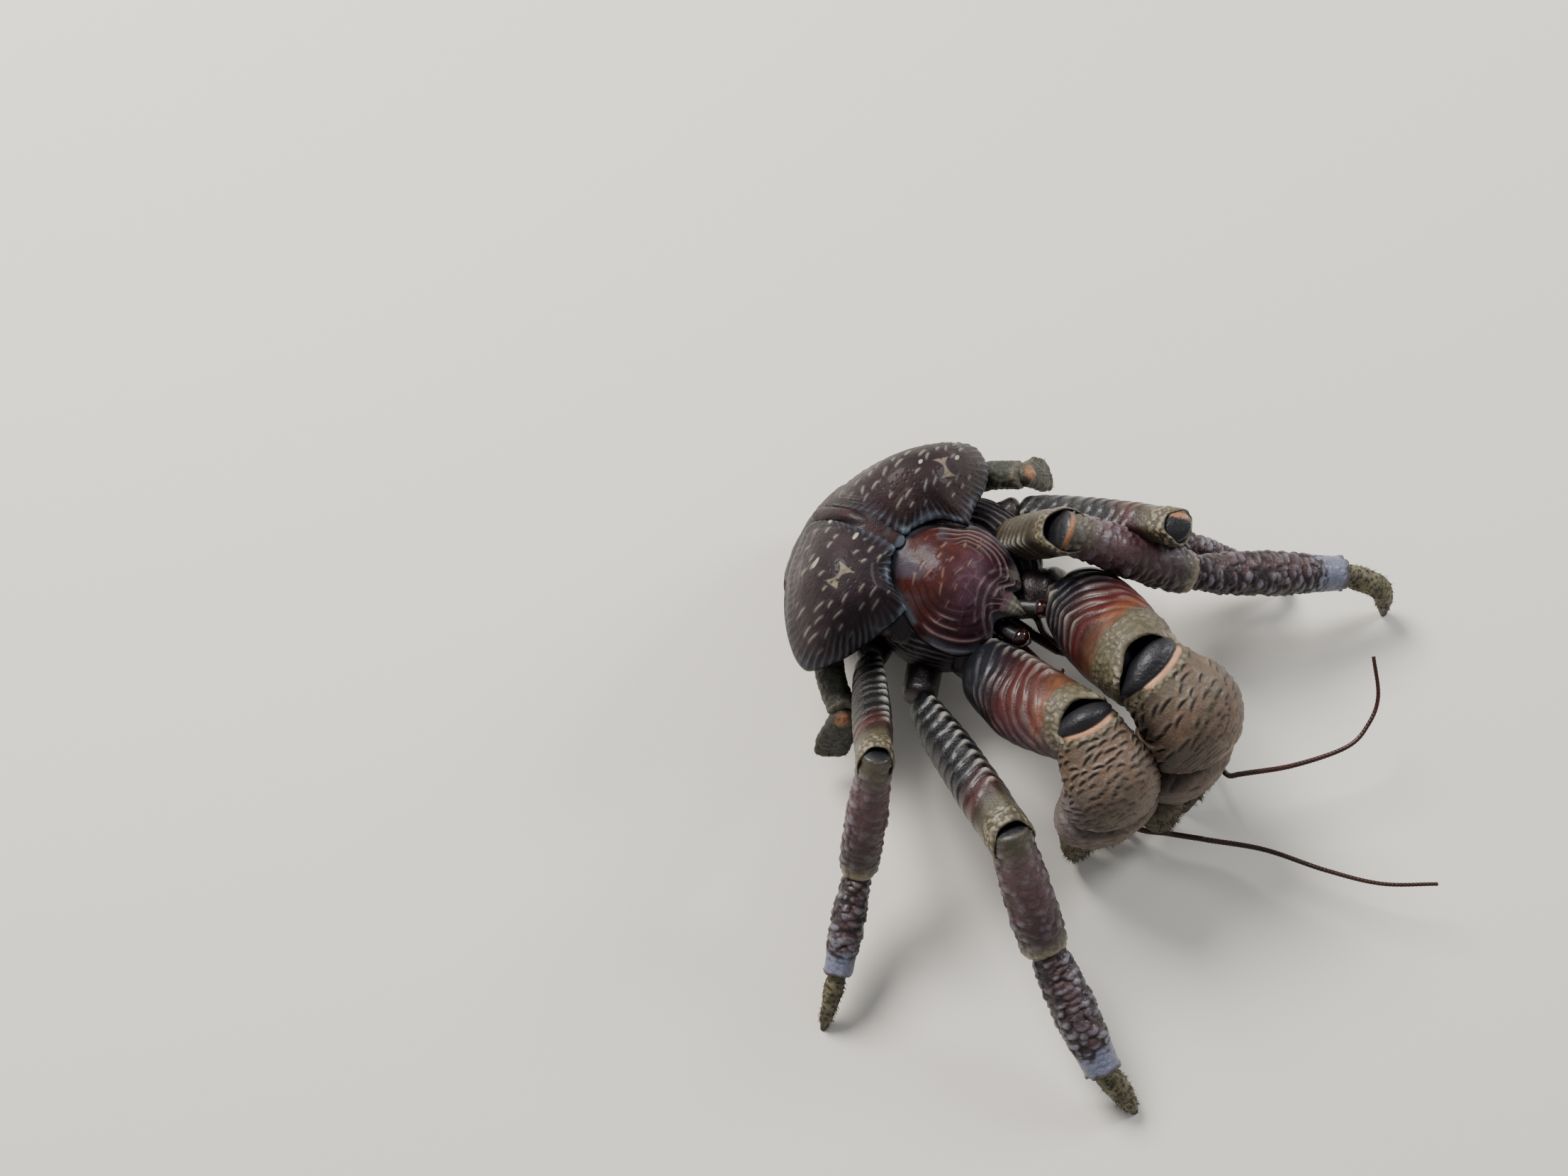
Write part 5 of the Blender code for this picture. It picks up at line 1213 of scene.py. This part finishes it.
for name, (root, bendSpot, elbow, end) in fourthLegs.items():
    upper = dict(course=(root, bendSpot, elbow), widths=(4.4, 4.9, 4.8), heights=(4.4, 4.7, 4.6), patch=0.0,
                 seed=400)
    addLimb(name + "_upper", upper, fourthDress, "tip", (name + "_merus",))
    lean = np.array(elbow, dtype=float) - np.array(root, dtype=float)
    hand = dict(course=(beyond(end, elbow, 0.8), end), lift=tuple(lean), widths=(3.0, 4.6, 6.4, 5.6),
                heights=(3.0, 3.2, 2.6, 1.8), end=0.8, patch=1.0, seed=410)
    addLimb(name + "_small_hand", hand, fourthDress, "tip", (name + "_hand",))
    plantBristles(hand, (30.0, 90.0, 150.0), 0.4, 0.95, 40, 0.6, 415)

# the tail: a soft sac folded under the body, its hard plates and the fan
tail = dict(
    course=((-7.5, 0, 18.5), (-12.5, 0, 15), (-13.2, 0, 9.5), (-9.0, 0, 4.5), (0, 0, 3.7), (9, 0, 3.8)),
    lift=(-1.0, 0.0, -0.35), widths=(20, 23, 24, 23, 20, 15), heights=(7.0, 8.0, 8.4, 8.2, 7.6, 6.0),
    root=0.6, end=0.8, spans=((0.06, 0.24), (0.27, 0.45), (0.48, 0.66), (0.69, 0.87)),
    halfTurn=1.05, stand=0.35, thick=1.2,
)


# a tail plate: dark shell with rows of lilac dashes
def tailPlateDress(spots, seed):
    c = shellColours
    paint = mottled(c.dark, c.brown, spots, 4.0, seed, 0.35, 0.7)
    marks, lip = strokes(spots[..., 1], spots[..., 0] + spots[..., 2], dict(dashLook, turn=0.0), seed + 3)
    paint = cover(paint, c.lilac, 0.6 * marks)
    return 0.08 * lip + 0.2 * (clouds(spots, 3.0, seed + 5) - 0.5), paint


# A band round the back of the sac: rings across it, from one edge over the top to the other edge
# and back along the inside.
def bandPoints(curve, look, span, rows=46, turns=110):
    place = np.linspace(span[0], span[1], rows)[:, None]
    swing = np.linspace(-look["halfTurn"], look["halfTurn"], turns)
    swing = np.concatenate((swing, swing[::-1]))[None]
    outer = np.concatenate((np.ones(turns), np.zeros(turns)))[None]
    bulge = 1.0 - np.abs(2.0 * (place - span[0]) / (span[1] - span[0]) - 1.0) ** 3
    bevel = 0.5 * (1.0 - np.sqrt(np.clip(1.0 - (np.abs(swing) / look["halfTurn"]) ** 14, 0.0, 1.0)))
    raised = np.where(outer > 0.5, look["stand"] + 0.35 * bulge - bevel,
                      look["stand"] - look["thick"] + bevel)
    _, side, up = waysAlong(curve, place, look["lift"])
    wide = 0.5 * profile(look["widths"], place) + raised
    high = 0.5 * profile(look["heights"], place) + raised
    angle = math.pi / 2.0 + swing
    cosine, sine = np.cos(angle), np.sin(angle)
    points = readCurve(curve, place) + side * (wide * cosine)[..., None] + up * (high * sine)[..., None]
    out = side * cosine[..., None] + up * sine[..., None]
    return points, out, outer


tailCurve = curveThrough(tail["course"])
for index, span in enumerate(tail["spans"]):
    points, out, outer = bandPoints(tailCurve, tail, span)
    relief, paint = tailPlateDress(points, 500 + 10 * index)
    points = points + out * (relief * outer)[..., None]
    points[..., 2] = np.maximum(points[..., 2], 0.0)
    label = "tail_plate_" + str(index + 1)
    addPiece(label, gridMesh(label, points, paint, 0.5), finishes["carapace"],
             ("tergite_" + str(index + 1),))


# the tail fan wears the tail plates' shell
def fanDress(form, look):
    relief, paint = tailPlateDress(form.points, 560)
    return relief, paint, 0.4


fanParts = (("tail_fan_plate", ((6.5, 0, 3.4), (12.5, 0, 3.0)), (5, 7.5, 7, 5), (1.8, 1.8, 1.6, 1.2),
             ("tail_fan",)),
            ("tail_fan_side_left", ((7.5, 2.6, 3.6), (10.5, 5.4, 3.4)), (1.8, 2.4, 1.6), (1.6, 1.8, 1.2),
             ()),
            ("tail_fan_side_right", ((7.5, -2.6, 3.6), (10.5, -5.4, 3.4)), (1.8, 2.4, 1.6), (1.6, 1.8, 1.2),
             ()))
for label, course, wides, highs, nodes in fanParts:
    addLimb(label, dict(course=course, widths=wides, heights=highs, end=0.9), fanDress, "carapace", nodes)
print("tail made")

# one dark skin for the body, the tail sac, the hips and the feelers' bases
skinLook = dict(grid=0.8, ground=0.25, voxel=0.42, smoothings=6, folds=2.2, foldDepth=0.35, waveDepth=0.3)
skinParts = [
    dict(course=((-12, 0, 15), (2, 0, 15.5), (20, 0, 15.5)), widths=(14, 19, 21, 20, 17, 12),
         heights=(13, 19, 20, 19, 17, 13), root=0.7, end=0.6),
    tail,
    dict(course=((-7, 0, 19), (4, 0, 21.3), (15, 0, 19.5)), widths=(20, 25, 25, 18),
         heights=(9, 10, 9.6, 8), root=0.7, end=0.7),
    dict(course=((-9, 0, 24.0), (0, 0, 25.2), (8, 0, 24.0)), widths=(13, 23, 17), heights=(6, 7.4, 6),
         root=0.7, end=0.7),
]
skinNodes = ["thorax_underside", "abdomen_sac"]
for name, claw in claws.items():
    sizes = scaled((6.2, 7.2, 7.4), claw["size"])
    skinParts.append(dict(course=(claw["hip"], claw["socket"]), widths=sizes, heights=sizes, end=0.5))
    skinNodes.append("claw_" + name + "_hip")
for name, leg in legs.items():
    sizes = (6.5, 6.0) if name.startswith("leg2") else (6.0, 5.6)
    skinParts.append(dict(course=leg["joints"][:2], widths=sizes, heights=scaled(sizes, 1.05), end=0.5))
    skinNodes.append(name + "_hip")
for side, name in ((1.0, "left"), (-1.0, "right")):
    skinParts.append(dict(course=onSide(side, (17.5, 4.2, 19.6), (21.5, 4.0, 20.2), (25.0, 3.5, 19.8)),
                          widths=(2.6, 2.6, 2.0), heights=(2.4, 2.4, 2.0)))
    skinNodes.append("antenna_base_" + name)


# a mesh's points, normals and triangles
def meshArrays(mesh):
    mesh.calc_loop_triangles()
    arrays = []
    for items, key, kind in ((mesh.vertices, "co", float), (mesh.vertices, "normal", float),
                             (mesh.loop_triangles, "vertices", int)):
        values = np.zeros(len(items) * 3, dtype=kind)
        items.foreach_get(key, values)
        arrays.append(values.reshape(-1, 3))
    return arrays


# joins the parts to one closed skin by a voxel remesh, then folds and paints it by place
def addSkin(look):
    spots, faces, base = [], [], 0
    for part in skinParts:
        points = limbForm(part, look["grid"]).points
        points[..., 2] = np.maximum(points[..., 2], look["ground"])
        co, _, triangles = meshArrays(gridMesh("part", points, (0.0, 0.0, 0.0), 0.0))
        spots.append(co)
        faces.append(triangles + base)
        base += len(co)
    joined = np.vstack(spots)
    draft = faceMesh("draft", joined, (np.vstack(faces),), np.ones((len(joined), 4)), np.zeros(len(joined)))
    holder = newObject("draft", draft)
    remesh = holder.modifiers.new("remesh", "REMESH")
    remesh.mode = "VOXEL"
    remesh.voxel_size = look["voxel"] * mm
    soften = holder.modifiers.new("soften", "SMOOTH")
    soften.iterations = look["smoothings"]
    bpy.context.view_layer.update()
    shape = bpy.data.meshes.new_from_object(holder.evaluated_get(bpy.context.evaluated_depsgraph_get()))
    bpy.data.objects.remove(holder)
    co, normal, triangles = meshArrays(shape)
    local = np.stack((notch[1] - co[:, 1], co[:, 0] - notch[0], co[:, 2]), axis=-1) / mm
    wave = clouds(local, 3.0, 600)
    fold = 0.5 + 0.5 * np.sin(local[:, 0] * look["folds"] + 4.0 * cloud(local, 5.0, 603))
    soft = ease(-local[:, 0], 4.0, 9.0)
    paint = np.ones((len(co), 4))
    paint[:, :3] = layers(cover(tint(40, 34, 38), tint(66, 54, 54), ease(wave, 0.3, 0.7)),
                          (tint(86, 74, 72), 0.5 * soft), (tint(26, 22, 26), 0.5 * ease(fold, 0.6, 1.0)))
    relief = look["foldDepth"] * (fold - 0.5) * (0.4 + 0.6 * soft) + look["waveDepth"] * (wave - 0.5)
    moved = co + normal * (relief * mm)[:, None]
    moved[:, 2] = np.maximum(moved[:, 2], 0.0)
    mesh = faceMesh("body_skin", moved, (triangles,), paint, 0.5 + 0.3 * wave)
    addPiece("body_skin", mesh, finishes["flesh"], skinNodes)


addSkin(skinLook)
print("body skin made")


# the eye: a dark gloss with a grey rim where the stalk holds it
def eyeDress(form, look):
    place = form.place
    rim = ease(0.28 - place, -0.04, 0.04)
    paint = cover(tint(34, 14, 14), tint(70, 26, 20), ease(cloud(form.points, 0.9, 700), 0.3, 0.7))
    paint = cover(paint, tint(92, 96, 96), rim)
    return 0.0, paint, 1.0 - 0.6 * rim


# an eye stalk: dark, paler towards the eye
def stalkDress(form, look):
    spots, place = form.points, form.place
    paint = mottled(tint(44, 38, 40), tint(78, 74, 74), spots, 1.2, 705, 0.4, 0.7)
    paint = cover(paint, tint(34, 26, 28), 0.6 * ease(0.6 - place, 0.0, 0.4))
    return 0.1 * (clouds(spots, 1.0, 706) - 0.5), paint, 0.6


# a feeler: brown with fine rings
def feelerDress(form, look):
    ring = 0.5 + 0.5 * np.cos(turnRound * form.along / 0.62)
    paint = cover(tint(70, 34, 26), tint(44, 24, 20), ease(cloud(form.points, 3.0, 710), 0.3, 0.7))
    paint = cover(paint, tint(112, 66, 48), 0.35 * ring)
    return 0.05 * ring, paint, 0.4


# a mouth leg: brown and warty
def mouthDress(form, look):
    spots = form.points
    warts = grains(form.round, form.along, 0.8, 0.8, 0.45, 720)
    paint = mottled(tint(46, 34, 36), tint(92, 70, 60), spots, 1.8, 721, 0.35, 0.7)
    return 0.1 * warts, paint, 0.4


eyeSpots = {"left": (25.1, 3.8, 24.0), "right": (24.6, -2.4, 24.0)}
feelers = {
    "left": (((24.8, 3.4, 19.6), (29, 2.6, 15.5), (42, 4.6, 12), (55, 4.4, 10), (61, 0.8, 9.2),
              (64.6, -1.4, 9)),
             ((66.6, -0.2, 9), (73.6, 5.4, 9.6), (79.8, 12.2, 11), (81.1, 17, 12.6), (80.3, 21.5, 14.4),
              (76.4, 26, 18))),
    "right": (((24.8, -3.4, 19.6), (30, -4.4, 15.0), (42, -9.5, 10), (50, -13.5, 4.5), (55.5, -15.4, 3.0),
               (61, -13.6, 3.2), (66, -12, 4.2)),
              ((66.6, -11.8, 4.2), (76, -8.6, 5.0), (86, -7.3, 7), (95, -5.2, 8.6), (103, -1, 10))),
}
for side, name in ((1.0, "left"), (-1.0, "right")):
    root = mirrored((19.2, 1.9, 22.4), side)
    spot = eyeSpots[name]
    addLimb("eye_stalk_" + name, dict(course=(root, spot), widths=(2.2, 2.2, 2.5), heights=(2.2, 2.2, 2.5)),
            stalkDress, "flesh", (), step=0.12)
    ball = dict(course=(beyond(root, spot, -1.4), beyond(root, spot, 1.4)), widths=(3.2,) * 3,
                heights=(3.2,) * 3, end=1.0)
    addLimb("eye_ball_" + name, ball, eyeDress, "eye", ("eye_" + name,), step=0.1)
    stem = dict(course=onSide(side, (20.0, 1.3, 18.6), (26, 1.6, 16.2), (30.5, 2.0, 13.6)),
                widths=(1.9, 1.8, 1.2), heights=(1.9, 1.8, 1.2))
    addLimb("antennule_stem_" + name, stem, feelerDress, "feeler", ("antennule_" + name,), step=0.15)
    flick = dict(course=onSide(side, (30.2, 2.0, 13.6), (32.4, 2.1, 15.2), (32.8, 2.2, 18.6)),
                 widths=(1.1, 1.0, 0.7), heights=(1.1, 1.0, 0.7))
    addLimb("antennule_tip_" + name, flick, feelerDress, "feeler", (), step=0.12)
    for index, route in enumerate(feelers[name]):
        ends = (1.1, 0.9) if index == 0 else (0.9, 0.6)
        course = route if index else route + (feelers[name][1][0],)
        label = "feeler_" + name + "_" + str(index + 1)
        addLimb(label, dict(course=course, widths=ends, heights=ends, root=0.2, end=0.2), feelerDress,
                "feeler", ("antenna_" + name + "_" + str(index + 1),), step=0.16)
    jaw = dict(course=onSide(side, (14.5, 2.6, 7.6), (18.5, 2.7, 6.9), (22.5, 2.7, 7.4)),
               widths=(4.0, 4.2, 3.2), heights=(3.0, 3.0, 2.4))
    addLimb("mouth_leg_" + name, jaw, mouthDress, "flesh", ("maxilliped_" + name,))
    palp = dict(course=onSide(side, (22.0, 2.7, 7.6), (24.2, 2.3, 9.6), (24.0, 1.9, 12.6)),
                widths=(2.6, 2.4, 1.4), heights=(2.4, 2.2, 1.4))
    addLimb("mouth_palp_" + name, palp, mouthDress, "flesh", ())
    plantBristles(palp, (0.0, 90.0, 180.0), 0.3, 0.95, 24, 0.8, 730)
addBristles("bristle_tufts", tint(96, 82, 48))
print("head made")


# a flat square of plain paint under the crab, outside the part
def stagePlane(name, half, colour, roughness):
    mesh = bpy.data.meshes.new(name)
    mesh.from_pydata([(-half, -half, 0.0), (half, -half, 0.0), (half, half, 0.0), (-half, half, 0.0)], [],
                     [(0, 1, 2, 3)])
    material = bpy.data.materials.new(name)
    material.use_nodes = True
    shader = material.node_tree.nodes["Principled BSDF"]
    shader.inputs["Base Color"].default_value = (*tint(*colour), 1.0)
    shader.inputs["Roughness"].default_value = roughness
    mesh.materials.append(material)
    plane = newObject(name, mesh)
    plane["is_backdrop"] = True


# a round area light that looks at a target
def addLight(name, target, spot, size, power, colour):
    light = bpy.data.lights.new(name, "AREA")
    light.shape = "DISK"
    light.size = size
    light.energy = power
    light.color = colour
    lamp = newObject(name, light)
    lamp.location = spot
    lamp.rotation_euler = (Vector(target) - Vector(spot)).to_track_quat("-Z", "Y").to_euler()


# in metres: the floor's half width, colour and roughness; each light's place, size, power, colour
studio = dict(floor=(8.0, (226, 220, 210), 0.7), world=(0.92, 0.95, 1.0), worldPower=0.38,
              target=(0.0, 0.0, 0.01), key=((0.16, 0.50, 0.58), 0.34, 9.5, (1.0, 0.98, 0.95)),
              rim=((0.55, -0.30, 0.40), 0.25, 3.0, (0.95, 0.97, 1.0)))
stagePlane("floor", *studio["floor"])
for name in ("key", "rim"):
    addLight(name, studio["target"], *studio[name])
world = bpy.data.worlds.new("studio")
world.use_nodes = True
sky = world.node_tree.nodes["Background"]
sky.inputs["Color"].default_value = (*studio["world"], 1.0)
sky.inputs["Strength"].default_value = studio["worldPower"]
bpy.context.scene.world = world

view = dict(spot=(-0.11358, -0.00926, 0.400), right=(0.5, -0.866, 0.0), up=(0.818, 0.472, 0.328),
            ahead=(0.2841, 0.164, -0.9447), lens=55.33, sensor=36.0, clip=(0.01, 20.0))
camera = bpy.data.cameras.new("camera")
camera.lens = view["lens"]
camera.sensor_width = view["sensor"]
camera.clip_start, camera.clip_end = view["clip"]
holder = newObject("camera", camera)
right, up, back = np.array(view["right"]), np.array(view["up"]), -np.array(view["ahead"])
rows = [[right[k], up[k], back[k], view["spot"][k]] for k in range(3)]
holder.matrix_world = Matrix(rows + [[0, 0, 0, 1]])
bpy.context.scene.camera = holder

sizes = {"cad": [list(map(float, corner)) for corner in cadBox],
         "visual": [list(map(float, corner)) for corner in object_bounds()]}
print("scene ready")
